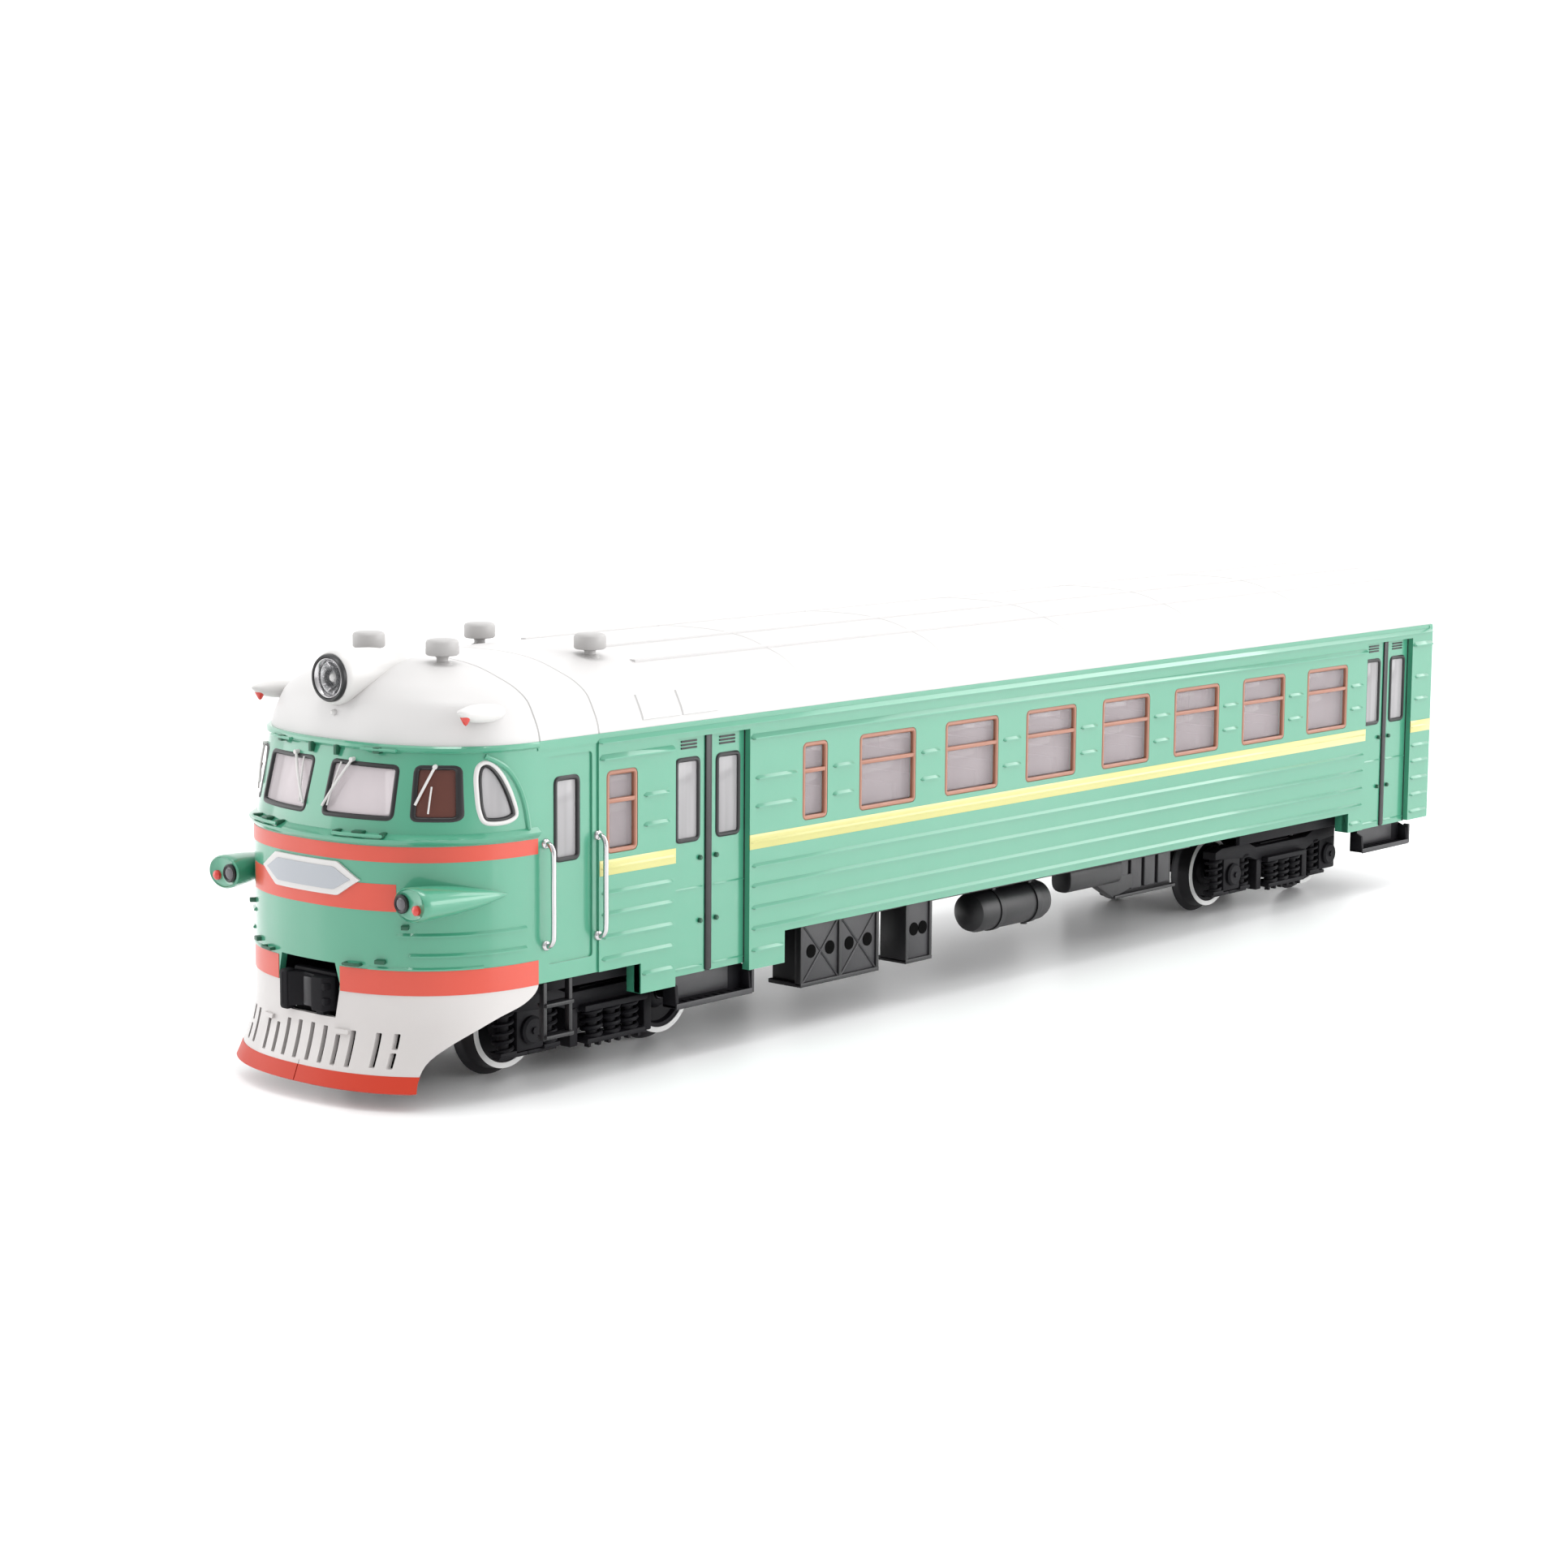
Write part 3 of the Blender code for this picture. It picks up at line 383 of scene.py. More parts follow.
def tube(points, radius, closed=False, sides=10, flat=1.0):
    """A round rod along a run of points. flat below 1 squashes it across its first normal."""
    path = [Vector(point) for point in points]
    count = len(path)
    normal = None
    rings = []
    for i, here in enumerate(path):
        before = path[i - 1] if closed or i else here
        after = path[(i + 1) % count] if closed or i < count - 1 else here
        along = (after - before).normalized()
        normal = normal or along.orthogonal().normalized()
        normal = (normal - along * normal.dot(along)).normalized()
        across = along.cross(normal)
        ring = []
        for side in range(sides):
            angle = 2 * math.pi * side / sides
            ring.append(here + (normal * math.cos(angle) * flat + across * math.sin(angle)) * radius)
        rings.append(ring)
    return loft(rings, capped=not closed, wrap_rings=closed)


def rounded(points, radius, steps=6):
    """A closed outline with a curve at each corner."""
    found = []
    count = len(points)
    for i, point in enumerate(points):
        corner = Vector(point)
        before = Vector(points[i - 1]) - corner
        after = Vector(points[(i + 1) % count]) - corner
        reach = min(radius / math.tan(before.angle(after) / 2), 0.49 * before.length, 0.49 * after.length)
        start = corner + before.normalized() * reach
        end = corner + after.normalized() * reach
        for step in range(steps + 1):
            t = step / steps
            found.append(tuple(start * (1 - t) ** 2 + corner * 2 * t * (1 - t) + end * t ** 2))
    return found


def shrunk(outline, inset):
    """A dense closed outline moved inwards all round."""
    points = [Vector(p) for p in outline]
    count = len(points)
    area = sum(points[i - 1].x * points[i].y - points[i].x * points[i - 1].y for i in range(count))
    moved = []
    for i, here in enumerate(points):
        along = (points[(i + 1) % count] - points[i - 1]).normalized()
        inwards = Vector((-along.y, along.x)) * math.copysign(1, area)
        moved.append(tuple(here + inwards * inset))
    return moved


def rectangle(low_x, high_x, low_z, high_z):
    return [(low_x, low_z), (high_x, low_z), (high_x, high_z), (low_x, high_z)]


def prism(outline, low, high, axis="Y"):
    """An outline extruded along an axis. Y takes (x, z) points, X takes (y, z) and Z (x, y)."""
    lift = {
        "Y": lambda a, b, h: (a, h, b),
        "X": lambda a, b, h: (h, a, b),
        "Z": lambda a, b, h: (a, b, h),
    }[axis]
    rings = [[lift(a, b, h) for a, b in outline] for h in (low, high)]
    return loft(rings)


def wall_panel(outline, holes, outer_y, thickness):
    """A flat wall with openings, filled between (x, z) outlines and extruded inwards."""
    bm = bmesh.new()
    edges = []
    for run in (outline, *holes):
        verts = [bm.verts.new((x, outer_y, z)) for x, z in run]
        edges += [bm.edges.new((a, b)) for a, b in zip(verts, verts[1:] + verts[:1])]
    filled = bmesh.ops.triangle_fill(bm, use_beauty=True, use_dissolve=False, edges=edges)
    faces = [item for item in filled["geom"] if isinstance(item, bmesh.types.BMFace)]
    grown = bmesh.ops.extrude_face_region(bm, geom=faces)
    moved = [item for item in grown["geom"] if isinstance(item, bmesh.types.BMVert)]
    step = -math.copysign(thickness, outer_y)
    bmesh.ops.translate(bm, vec=(0, step, 0), verts=moved)
    return outward(bm)


def sleeve(outline, width, face, back, place):
    """A frame in an opening. It lines the reveal, and place turns (across, up, out) into a point."""
    section = (
        (0.0, face - 0.15), (width * 0.3, face), (width * 0.75, face),
        (width, face - 0.15), (width, back), (0.0, back),
    )
    rings = []
    for inset, out in section:
        rings.append([place(a, b, out) for a, b in (shrunk(outline, inset) if inset else outline)])
    return loft(rings, wrap_rings=True)


def on_wall(face_y):
    """Places (x, z, out) on a side wall."""
    return lambda x, z, out: (x, face_y + out, z)


def evaluated(bm, *modifiers):
    """The mesh after these (type, settings) modifiers. A setting that is a bmesh becomes a helper object."""
    helpers = []

    def scratch(mesh_data):
        mesh = bpy.data.meshes.new("scratch")
        mesh_data.to_mesh(mesh)
        mesh_data.free()
        obj = bpy.data.objects.new("scratch", mesh)
        bpy.context.collection.objects.link(obj)
        helpers.append(obj)
        return obj

    target = scratch(bm)
    for kind, settings in modifiers:
        modifier = target.modifiers.new(kind.lower(), kind)
        for name, value in settings.items():
            setattr(modifier, name, scratch(value) if isinstance(value, bmesh.types.BMesh) else value)
    graph = bpy.context.evaluated_depsgraph_get()
    result = bpy.data.meshes.new_from_object(target.evaluated_get(graph))
    made = bmesh.new()
    made.from_mesh(result)
    bpy.data.meshes.remove(result)
    for obj in helpers:
        mesh = obj.data
        bpy.data.objects.remove(obj)
        bpy.data.meshes.remove(mesh)
    return made


def cut_by(cutter):
    return ("BOOLEAN", {"operation": "DIFFERENCE", "solver": "EXACT", "object": cutter})


def mirrored(bm):
    """The mesh and its mirror image across the middle of the vehicle."""
    twin = bm.copy()
    bmesh.ops.scale(twin, vec=(1, -1, 1), verts=twin.verts)
    bmesh.ops.reverse_faces(twin, faces=twin.faces)
    return join([bm, twin])


def curve_value(before, start, end, after, t):
    """A number on the smooth curve from start to end."""
    slope = (end - before) * t
    bend = (2 * before - 5 * start + 4 * end - after) * t ** 2
    twist = (3 * start - before - 3 * end + after) * t ** 3
    return 0.5 * (2 * start + slope + bend + twist)


def smooth_run(values, steps):
    """A Catmull-Rom curve through tuples of numbers."""
    found = []
    last = len(values) - 1
    for i in range(last):
        four = values[max(i - 1, 0)], values[i], values[i + 1], values[min(i + 2, last)]
        for step in range(steps):
            found.append(tuple(curve_value(*numbers, step / steps) for numbers in zip(*four)))
    found.append(tuple(values[-1]))
    return found


# ---------------------------------------------------------------- the nose's surface


def nose_tip(z):
    if z <= LEDGE_Z:
        return NOSE_TIP_X
    return NOSE_TIP_X - LEDGE_STEP - WINDSCREEN_LEAN * (z - LEDGE_Z)


def nose_point(angle, z, out=0.0, half_width=HALF_WIDTH, tip=None):
    """The nose in plan at an angle from its tip, in radians, moved out along its normal."""
    length = (nose_tip(z) if tip is None else tip) - NOSE_START_X
    forward = abs(math.cos(angle)) ** (2 / NOSE_POWER)
    across = math.copysign(abs(math.sin(angle)) ** (2 / NOSE_POWER), angle)
    normal = Vector((
        forward ** (NOSE_POWER - 1) / length,
        math.copysign(abs(across) ** (NOSE_POWER - 1), across) / half_width,
        0.0,
    )).normalized()
    return Vector((NOSE_START_X + length * forward, half_width * across, z)) + normal * out


def angle_at_y(y, half_width=HALF_WIDTH):
    return math.copysign(math.asin(min(abs(y) / half_width, 1.0) ** (NOSE_POWER / 2)), y)


def angle_at_x(x, z, side=1):
    share = min(max((x - NOSE_START_X) / (nose_tip(z) - NOSE_START_X), 0.0), 1.0)
    return side * math.acos(share ** (NOSE_POWER / 2))


def nose_at(y, z, out=0.0):
    return nose_point(angle_at_y(y), z, out)


def nose_beside(x, z, out=0.0, side=1):
    return nose_point(angle_at_x(x, z, side), z, out)


def angles(start, end, steps):
    return [start + (end - start) * i / steps for i in range(steps + 1)]


QUARTER = math.pi / 2


def nose_strip(section, start=-QUARTER, end=QUARTER, steps=72):
    """A solid that follows the nose, with a closed cross-section of (out, z) points."""
    rings = [[nose_point(angle, z, out) for out, z in section] for angle in angles(start, end, steps)]
    return loft(rings)


def nose_paint(low_z, high_z, low_y=None, out=0.05):
    """A painted band on the nose, all the way round or as far as a place across it."""
    reach = QUARTER if low_y is None else angle_at_y(low_y)
    return nose_strip([(-0.2, low_z), (out, low_z), (out, high_z), (-0.2, high_z)], -reach, reach)


# ---------------------------------------------------------------- coach body


def window_spans():
    half = WINDOW_WIDTH / 2
    middles = [FIRST_WINDOW_X - WINDOW_PITCH * k for k in range(WINDOW_COUNT)]
    return [(x - half, x + half) for x in middles]


def window_outline(span, heights=WINDOW_Z, radius=0.9, inset=0.0):
    low_x, high_x = span
    low_z, high_z = heights
    return rounded(
        rectangle(low_x + inset, high_x - inset, low_z + inset, high_z - inset), max(radius - inset, 0.2)
    )


def rib(low_x, high_x, z, out=0.34, height=0.62, base=WALL_FACE):
    """A pressed bead along the wall, with tapered ends."""
    half = height / 2
    edge = z - half * 0.2
    section = [(-0.1, z - half), (out, z - half * 0.7), (out, edge), (-0.1, edge + out + 0.1)]
    rings = []
    for x, share in ((low_x, 0.2), (low_x + 0.35, 1.0), (high_x - 0.35, 1.0), (high_x, 0.2)):
        ring = []
        for reach, level in section:
            if reach > 0:
                reach *= share
            ring.append((x, base + reach, z + (level - z) * max(share, 0.5)))
        rings.append(ring)
    return loft(rings)


def rib_spans(z):
    """The stretches of wall that a rib at this height runs along."""
    if z > WINDOW_Z[0]:
        gaps = sorted([*window_spans(), SMALL_WINDOW_X, REAR_DOOR_X, FRONT_DOOR_X, FRONT_WINDOW_X])
        edges = [REAR_X, *(x for gap in gaps for x in gap), CAB_END_X]
        return [(a + 1.1, b - 1.1) for a, b in zip(edges[::2], edges[1::2]) if b - a > 3.0]
    spans = [(REAR_X + 0.4, REAR_DOOR_X[0] - 0.5), (FRONT_DOOR_X[1] + 0.5, CAB_END_X - 0.5)]
    if z < SILL_Z:
        spans[1] = (FRONT_DOOR_X[1] + 0.5, FRONT_POCKET_X[1] - 0.25)
        beside_doors = [
            (FRONT_POCKET_X[0] + 0.3, FRONT_DOOR_X[0] - 0.5),
            (REAR_DOOR_X[1] + 0.5, REAR_POCKET_X - 0.4),
        ]
        return [*spans, *beside_doors]
    return [*spans, (REAR_DOOR_X[1] + 0.5, FRONT_DOOR_X[0] - 0.5)]


def make_coach_body():
    """Side walls, door leaves, ribs and the rear wall, in one painted moulding."""
    low, high = FRONT_DOOR_X
    rear_low, rear_high = REAR_DOOR_X
    pocket_low, pocket_high = FRONT_POCKET_X
    front = [
        (high, DOOR_Z[0] - 0.9), (pocket_high, POCKET_Z), (pocket_high, CAB_SILL_Z),
        (CAB_END_X, CAB_SILL_Z), (CAB_END_X, CORNICE_Z), (high, CORNICE_Z),
    ]
    middle = [
        (rear_high, REAR_SILL_Z), (REAR_POCKET_X, REAR_SILL_Z), (REAR_POCKET_X, SILL_Z),
        (pocket_low, SILL_Z), (pocket_low, POCKET_Z), (low, POCKET_Z), (low, CORNICE_Z),
        (rear_high, CORNICE_Z),
    ]
    rear = rectangle(REAR_X, rear_low, REAR_SILL_Z, CORNICE_Z)
    over_doors = [rectangle(a, b, DOOR_Z[1], CORNICE_Z) for a, b in (FRONT_DOOR_X, REAR_DOOR_X)]
    cornice = rectangle(REAR_X, NOSE_START_X, CORNICE_Z, GUTTER_Z)
    holes = [window_outline(span) for span in (*window_spans(), SMALL_WINDOW_X)]
    cab_door = rounded(rectangle(83.7, 91.3, 14.6, 39.6), 0.5)
    cab = rectangle(CAB_END_X, NOSE_START_X, CAB_SILL_Z, CORNICE_Z)
    thick = WALL + PROUD
    parts = [
        wall_panel(front, [window_outline(FRONT_WINDOW_X)], WALL_FACE, thick),
        wall_panel(middle, holes, WALL_FACE, thick),
        wall_panel(rear, [], WALL_FACE, thick),
        wall_panel(cornice, [], HALF_WIDTH + 0.12, 1.0),
        wall_panel(cab, [cab_door], HALF_WIDTH, WALL),
        wall_panel(shrunk(cab_door, -0.2), [window_outline(CAB_WINDOW_X)], HALF_WIDTH - 0.25, 0.6),
    ]
    parts += [wall_panel(outline, [], WALL_FACE, thick) for outline in over_doors]
    for door in (FRONT_DOOR_X, REAR_DOOR_X):
        parts += door_leaves(door)
    for z in RIBS_Z:
        parts += [rib(a, b, z) for a, b in rib_spans(z)]
    for a, b in ((high, CAB_END_X), (rear_high, low), (REAR_X, rear_low)):
        parts.append(rib(a + 0.2, b - 0.2, DRIP_RIB_Z, out=0.5, height=0.8))
    parts.append(rib(REAR_X + 0.2, CAB_END_X, CORNICE_Z, out=0.4, height=0.4))
    parts += pocket_returns()
    side = mirrored(join(parts))
    rear_half = HALF_WIDTH + 0.2
    rear_outline = rounded(rectangle(-rear_half, rear_half, REAR_SILL_Z, GUTTER_Z), 0.4, 3)
    rear_wall = prism(rear_outline, REAR_X - 0.06, REAR_X + 1.0, "X")
    add_piece("coach_body", join([side, rear_wall]), GREEN, stands_for=["body_shell"])
    stripes = []
    for a, b in ((high, CAB_END_X - 0.1), (rear_high, low), (REAR_X, rear_low)):
        stripes.append(box((a, WALL_FACE - 0.1, YELLOW_Z[0]), (b, WALL_FACE + 0.06, YELLOW_Z[1]), 0.02))
        stripes.append(rib(a + 0.1, b - 0.1, 25.2, out=0.26, height=0.5))
    add_piece("yellow_stripe", mirrored(join(stripes)), YELLOW)


def pocket_returns():
    """The inner flanges of the pockets beside the doors, which give them depth."""
    flanges = (
        (FRONT_POCKET_X[1] - 0.55, POCKET_Z, CAB_SILL_Z),
        (FRONT_POCKET_X[0], POCKET_Z, SILL_Z),
        (REAR_POCKET_X - 0.55, REAR_SILL_Z, SILL_Z),
    )
    inner, outer = HALF_WIDTH - 2.2, HALF_WIDTH + 0.1
    return [box((x, inner, low_z), (x + 0.55, outer, high_z + 0.5), 0.05) for x, low_z, high_z in flanges]


def door_leaves(door):
    """Two leaves set back in the wall, with window openings and pressed creases."""
    low, high = door
    middle = (low + high) / 2
    parts = []
    for sign in (1, -1):
        ends = sorted((middle + sign * 0.5, middle + sign * (high - low) / 2 + sign * 0.3))
        window = door_window(middle, sign)
        hole = window_outline(window, DOOR_WINDOW_Z, 0.9)
        parts.append(wall_panel(rectangle(*ends, *DOOR_Z), [hole], DOOR_FACE, 0.7))
        visible = sorted((middle + sign * 0.9, middle + sign * (high - low) / 2))
        for z in (20.5, 10.5):
            parts.append(rib(*visible, z, out=0.16, height=0.35, base=DOOR_FACE))
    return parts


def door_window(middle, sign):
    return sorted((middle + sign * 1.55, middle + sign * 5.95))


def make_door_fittings():
    """Rubber meeting strips, a thin black line of painted shadow at each doorway's rear edge, vent grilles
    above the windows and the small handles.
    """
    face = DOOR_FACE
    low_z, high_z = DOOR_Z
    stud = [(0, 0), (0.32, 0), (0.32, 0.3), (0.2, 0.45), (0, 0.45)]
    black = []
    studs = []
    for low, high in (FRONT_DOOR_X, REAR_DOOR_X):
        middle = (low + high) / 2
        black.append(box((middle - 0.6, face - 0.5, low_z + 0.1), (middle + 0.6, face + 0.28, high_z), 0.25))
        # A thin black strip along the doorway's rear edge: painted shadow in the gap behind the leaves.
        black.append(box((low - 0.05, face - 0.3, low_z), (low + 0.12, face + 0.1, high_z), 0.05))
        for sign in (1, -1):
            start, end = sorted((middle + sign * 2.1, middle + sign * 5.0))
            for row in range(3):
                z = 38.1 + 0.42 * row
                black.append(box((start, face - 0.2, z), (end, face + 0.12, z + 0.24), 0.05))
            for z in (24.2, 16.2):
                studs.append(lathe(stud, (middle + sign * 1.5, face, z), "Y", 16))
    add_piece("door_strips", mirrored(join(black)), RUBBER_AND_SHADOW)
    add_piece("door_studs", mirrored(join(studs)), DARK_GREEN)


def make_window_frames():
    """Painted frames with a transom in the body windows, and rubber ones in the doors."""
    copper = []
    for span in (*window_spans(), SMALL_WINDOW_X, FRONT_WINDOW_X):
        low, high = span
        copper.append(sleeve(window_outline(span), 0.58, 0.06, -0.5, on_wall(WALL_FACE)))
        copper.append(box(
            (low + 0.2, WALL_FACE - 0.6, TRANSOM_Z - 0.28),
            (high - 0.2, WALL_FACE + 0.02, TRANSOM_Z + 0.28),
            0.12,
        ))
    add_piece("window_frames", mirrored(join(copper)), COPPER)
    rubber = []
    for low, high in (FRONT_DOOR_X, REAR_DOOR_X):
        for sign in (1, -1):
            hole = window_outline(door_window((low + high) / 2, sign), DOOR_WINDOW_Z, inset=-0.12)
            rubber.append(sleeve(hole, 0.58, 0.2, -0.5, on_wall(DOOR_FACE)))
    cab_hole = window_outline(CAB_WINDOW_X, inset=-0.12)
    rubber.append(sleeve(cab_hole, 0.58, 0.2, -0.9, on_wall(HALF_WIDTH - 0.25)))
    add_piece("door_window_rubbers", mirrored(join(rubber)), RUBBER_AND_SHADOW)


def make_side_panes(side, sign):
    """A strip inside the wall, with a raised pane in each window."""
    back, front = HALF_WIDTH - 1.5, HALF_WIDTH - 0.95
    parts = [(box((REAR_X + 1.6, back, 25.3), (NOSE_START_X - 0.2, front, 39.9), 0.1), 0)]

    def raise_pane(span, low_z, high_z, inset, out, soft, index):
        low = (span[0] + inset, front - 0.05, low_z)
        high = (span[1] - inset, front + out, high_z)
        parts.append((box(low, high, soft), index))

    for span in (*window_spans(), SMALL_WINDOW_X, FRONT_WINDOW_X):
        raise_pane(span, WINDOW_Z[0] + 0.62, TRANSOM_Z - 0.2, 0.62, 0.9, 0.32, 0)
        raise_pane(span, TRANSOM_Z + 0.2, WINDOW_Z[1] - 0.62, 0.62, 0.9, 0.32, 0)
    low_z, high_z = DOOR_WINDOW_Z[0] + 0.3, DOOR_WINDOW_Z[1] - 0.3
    for door in (FRONT_DOOR_X, REAR_DOOR_X):
        for step in (1, -1):
            raise_pane(door_window(sum(door) / 2, step), low_z, high_z, 0.3, 0.2, 0.3, 1)
    raise_pane(CAB_WINDOW_X, low_z, high_z, 0.3, 0.55, 0.3, 1)
    panes = join(parts)
    bmesh.ops.scale(panes, vec=(1, sign, 1), verts=panes.verts)
    add_piece(
        f"side_panes_{side}", outward(panes), [GLASS, DOOR_GLASS],
        stands_for=[f"side_glazing_{side}"],
    )


def make_nose_panes():
    """One curved moulding behind the nose's windows, tinted in three parts."""
    right, left = ([screen_column(*station) for station in screen_stations(side)] for side in (-1, 1))
    panes = loft(right[::-1] + left)
    main_end = MAIN_SCREEN[1][0] + 0.5
    corner_end = CORNER_SCREEN[1][0] + 0.3
    for face in panes.faces:
        y = abs(face.calc_center_median().y)
        face.material_index = 0 if y < main_end else 1 if y < corner_end else 2
    bmesh.ops.remove_doubles(panes, verts=panes.verts, dist=1e-4)
    add_piece(
        "windscreen_panes", outward(panes), [SCREEN, TINTED, DOOR_GLASS],
        stands_for=["windscreen_glazing"], crease=30,
    )


def make_glazing():
    for side, sign in SIDES:
        make_side_panes(side, sign)
    make_nose_panes()


def crossings(outline, steps):
    """(across, low, high) where upright lines cross a closed outline, closer together at its ends."""
    low, high = min(a for a, _ in outline), max(a for a, _ in outline)
    found = []
    for k in range(steps + 1):
        across = (low + high) / 2 - (high - low) * 0.4995 * math.cos(math.pi * k / steps)
        heights = []
        for (a, z), (b, top) in zip(outline, outline[1:] + outline[:1]):
            if (a - across) * (b - across) <= 0 and a != b:
                heights.append(z + (top - z) * (across - a) / (b - a))
        found.append((across, min(heights), max(heights)))
    return found


def screen_stations(side):
    """Upright sections of the nose's glazing from the middle to one side.

    Each is (place, across, heights of the pane)."""
    def across_nose(y, z, out):
        return nose_at(side * y, z, out)

    def beside_nose(x, z, out):
        return nose_beside(x, z, out, side)

    main, corner = (rounded(corners, 1.0, 7) for corners in (MAIN_SCREEN, CORNER_SCREEN))
    windows = (
        (main, 0.5, across_nose, 1),
        (corner, 0.5, across_nose, 1),
        (quarter_outline(), 0.85, beside_nose, -1),
    )
    stations = [(across_nose, 0.3, None)]
    for outline, inset, place, order in windows:
        columns = crossings(shrunk(dense(outline), inset), 16)[::order]
        stations.append((place, columns[0][0], None))
        stations += [(place, across, (low, high)) for across, low, high in columns]
        stations.append((place, columns[-1][0], None))
    return [*stations, (beside_nose, NOSE_START_X + 0.3, None)]


def screen_column(place, across, heights):
    """A closed section of the glazing. Its pane stands forward between the two heights."""
    low, high = heights or (35.9, 36.1)
    back, front, pane = -1.5, -1.0, -0.3 if heights else -1.0
    section = (
        (back, 31.8), (front, 31.8), (front, low), (pane, low),
        (pane, high), (front, high), (front, 40.4), (back, 40.4),
    )
    return [place(across, z, out) for out, z in section]


# ---------------------------------------------------------------- nose


def quarter_outline():
    points = [QUARTER_WINDOW[-1], *QUARTER_WINDOW, *QUARTER_WINDOW[:2]]
    return smooth_run(points, 6)[6:-7]


def screen_outlines():
    """(Y, Z) outlines of the four windscreens' rubbers."""
    found = []
    for corners in (MAIN_SCREEN, CORNER_SCREEN):
        outline = rounded(corners, 1.0, 7)
        found += [outline, [(-y, z) for y, z in outline]]
    return found


def dense(outline, longest=0.5):
    """The outline with points added where its sides are long."""
    found = []
    for i, here in enumerate(outline):
        start = Vector(outline[i - 1])
        run = Vector(here) - start
        steps = max(1, math.ceil(run.length / longest))
        found += [tuple(start + run * (k + 1) / steps) for k in range(steps)]
    return found


def make_nose():
    levels = [CAB_SILL_Z + (LEDGE_Z - CAB_SILL_Z) * i / 12 for i in range(13)]
    levels += [LEDGE_Z + 0.01 + (GUTTER_Z - LEDGE_Z - 0.01) * i / 10 for i in range(11)]
    sheet = [[nose_point(a, z) for a in angles(-QUARTER, QUARTER, 96)] for z in levels]
    cutters = [prism(shrunk(dense(o), 0.35), 98, 116, "X") for o in screen_outlines()]
    quarter = shrunk(quarter_outline(), 0.55)
    cutters += [prism(quarter, 14, 24), prism(quarter, -24, -14)]
    cutters.append(prism(COUPLER_OPENING, 100, 120, "X"))
    shell = evaluated(
        loft(sheet, capped=False, wrap_points=False),
        ("SOLIDIFY", {"thickness": WALL, "offset": -1.0, "use_even_offset": True}),
        cut_by(join(cutters)),
    )
    nose = add_piece("nose_shell", shell, GREEN)
    smooth_nose_normals(nose.data)
    ledge = [(-0.4, 30.2), (0.12, 30.2), (0.55, 30.65), (0.6, 30.9), (0.0, 31.45), (-1.2, 31.5)]
    cornice = [(-0.5, 40.8), (0.15, 40.8), (0.42, 41.05), (0.42, 41.4), (0.2, 41.6), (-0.8, 41.6)]
    lower = [(-0.3, 15.35), (0.2, 15.42), (0.2, 15.62), (-0.3, 16.1)]
    parts = [nose_strip(ledge), nose_strip(cornice)]
    parts += [nose_strip(lower, -1.2, -0.42), nose_strip(lower, 0.42, 1.2)]
    for z, start in ((19.6, 0.62), (17.2, 0.7)):
        bead = [(-0.2, z - 0.3), (0.28, z - 0.2), (0.28, z), (-0.2, z + 0.48)]
        parts += [nose_strip(bead, a, b, 30) for a, b in ((start, 1.5), (-1.5, -start))]
    for side in (1, -1):
        brow = smooth_run(((94.4, 31.4), (94.9, 34.0), (95.9, 36.6), (97.6, 38.9), (100.0, 40.4)), 6)
        parts.append(tube([nose_beside(x, z, 0.0, side) for x, z in brow], 0.35, sides=8))
    add_piece("nose_mouldings", join(parts), GREEN)
    bands = [nose_paint(*UPPER_RED_Z), nose_paint(*LOWER_RED_Z, low_y=12.5), red_band()]
    add_piece("nose_stripes", join(bands), RED)
    make_nose_rubbers()


def red_band():
    """The lowest band stops at the coupler's opening on each side."""
    low, high = RED_BAND_Z
    section = [(-0.2, low), (0.06, low), (0.06, high), (-0.2, high)]
    edge = angle_at_y(COUPLER_OPENING[2][0] + 0.05)
    return join([nose_strip(section, edge, QUARTER, 40), nose_strip(section, -QUARTER, -edge, 40)])


def smooth_nose_normals(mesh):
    """Gives the cut shell the true normals of the nose, so that its gloss runs on past the openings."""
    def true_normal(point):
        place = Vector(point) * PER_METRE - DATUM
        length = nose_tip(place.z) - NOSE_START_X
        forward = min(max((place.x - NOSE_START_X) / length, 0.0), 1.05)
        across = min(abs(place.y) / HALF_WIDTH, 1.05)
        lean = WINDSCREEN_LEAN * forward ** NOSE_POWER / length if place.z > LEDGE_Z else 0.0
        return Vector((
            forward ** (NOSE_POWER - 1) / length,
            math.copysign(across ** (NOSE_POWER - 1), place.y) / HALF_WIDTH,
            lean,
        )).normalized()

    normals = [None] * len(mesh.loops)
    for polygon in mesh.polygons:
        for index in polygon.loop_indices:
            normal = true_normal(mesh.vertices[mesh.loops[index].vertex_index].co)
            facing = normal.dot(polygon.normal)
            if abs(facing) < 0.9:
                normal = polygon.normal
            elif facing < 0:
                normal = -normal
            normals[index] = tuple(normal)
    mesh.normals_split_custom_set(normals)


def make_nose_rubbers():
    black = [sleeve(dense(outline), 0.6, 0.1, -0.95, nose_at) for outline in screen_outlines()]
    white = []
    quarter = quarter_outline()
    for side in (1, -1):
        def beside(x, z, out):
            return nose_beside(x, z, out, side)

        black.append(sleeve(shrunk(quarter, 0.42), 0.5, 0.04, -0.95, beside))
        white.append(sleeve(quarter, 0.55, 0.14, -0.3, beside))
    add_piece("windscreen_rubbers", join(black), RUBBER_AND_SHADOW, crease=50)
    add_piece("quarter_window_rims", join(white), TRIM, crease=50)


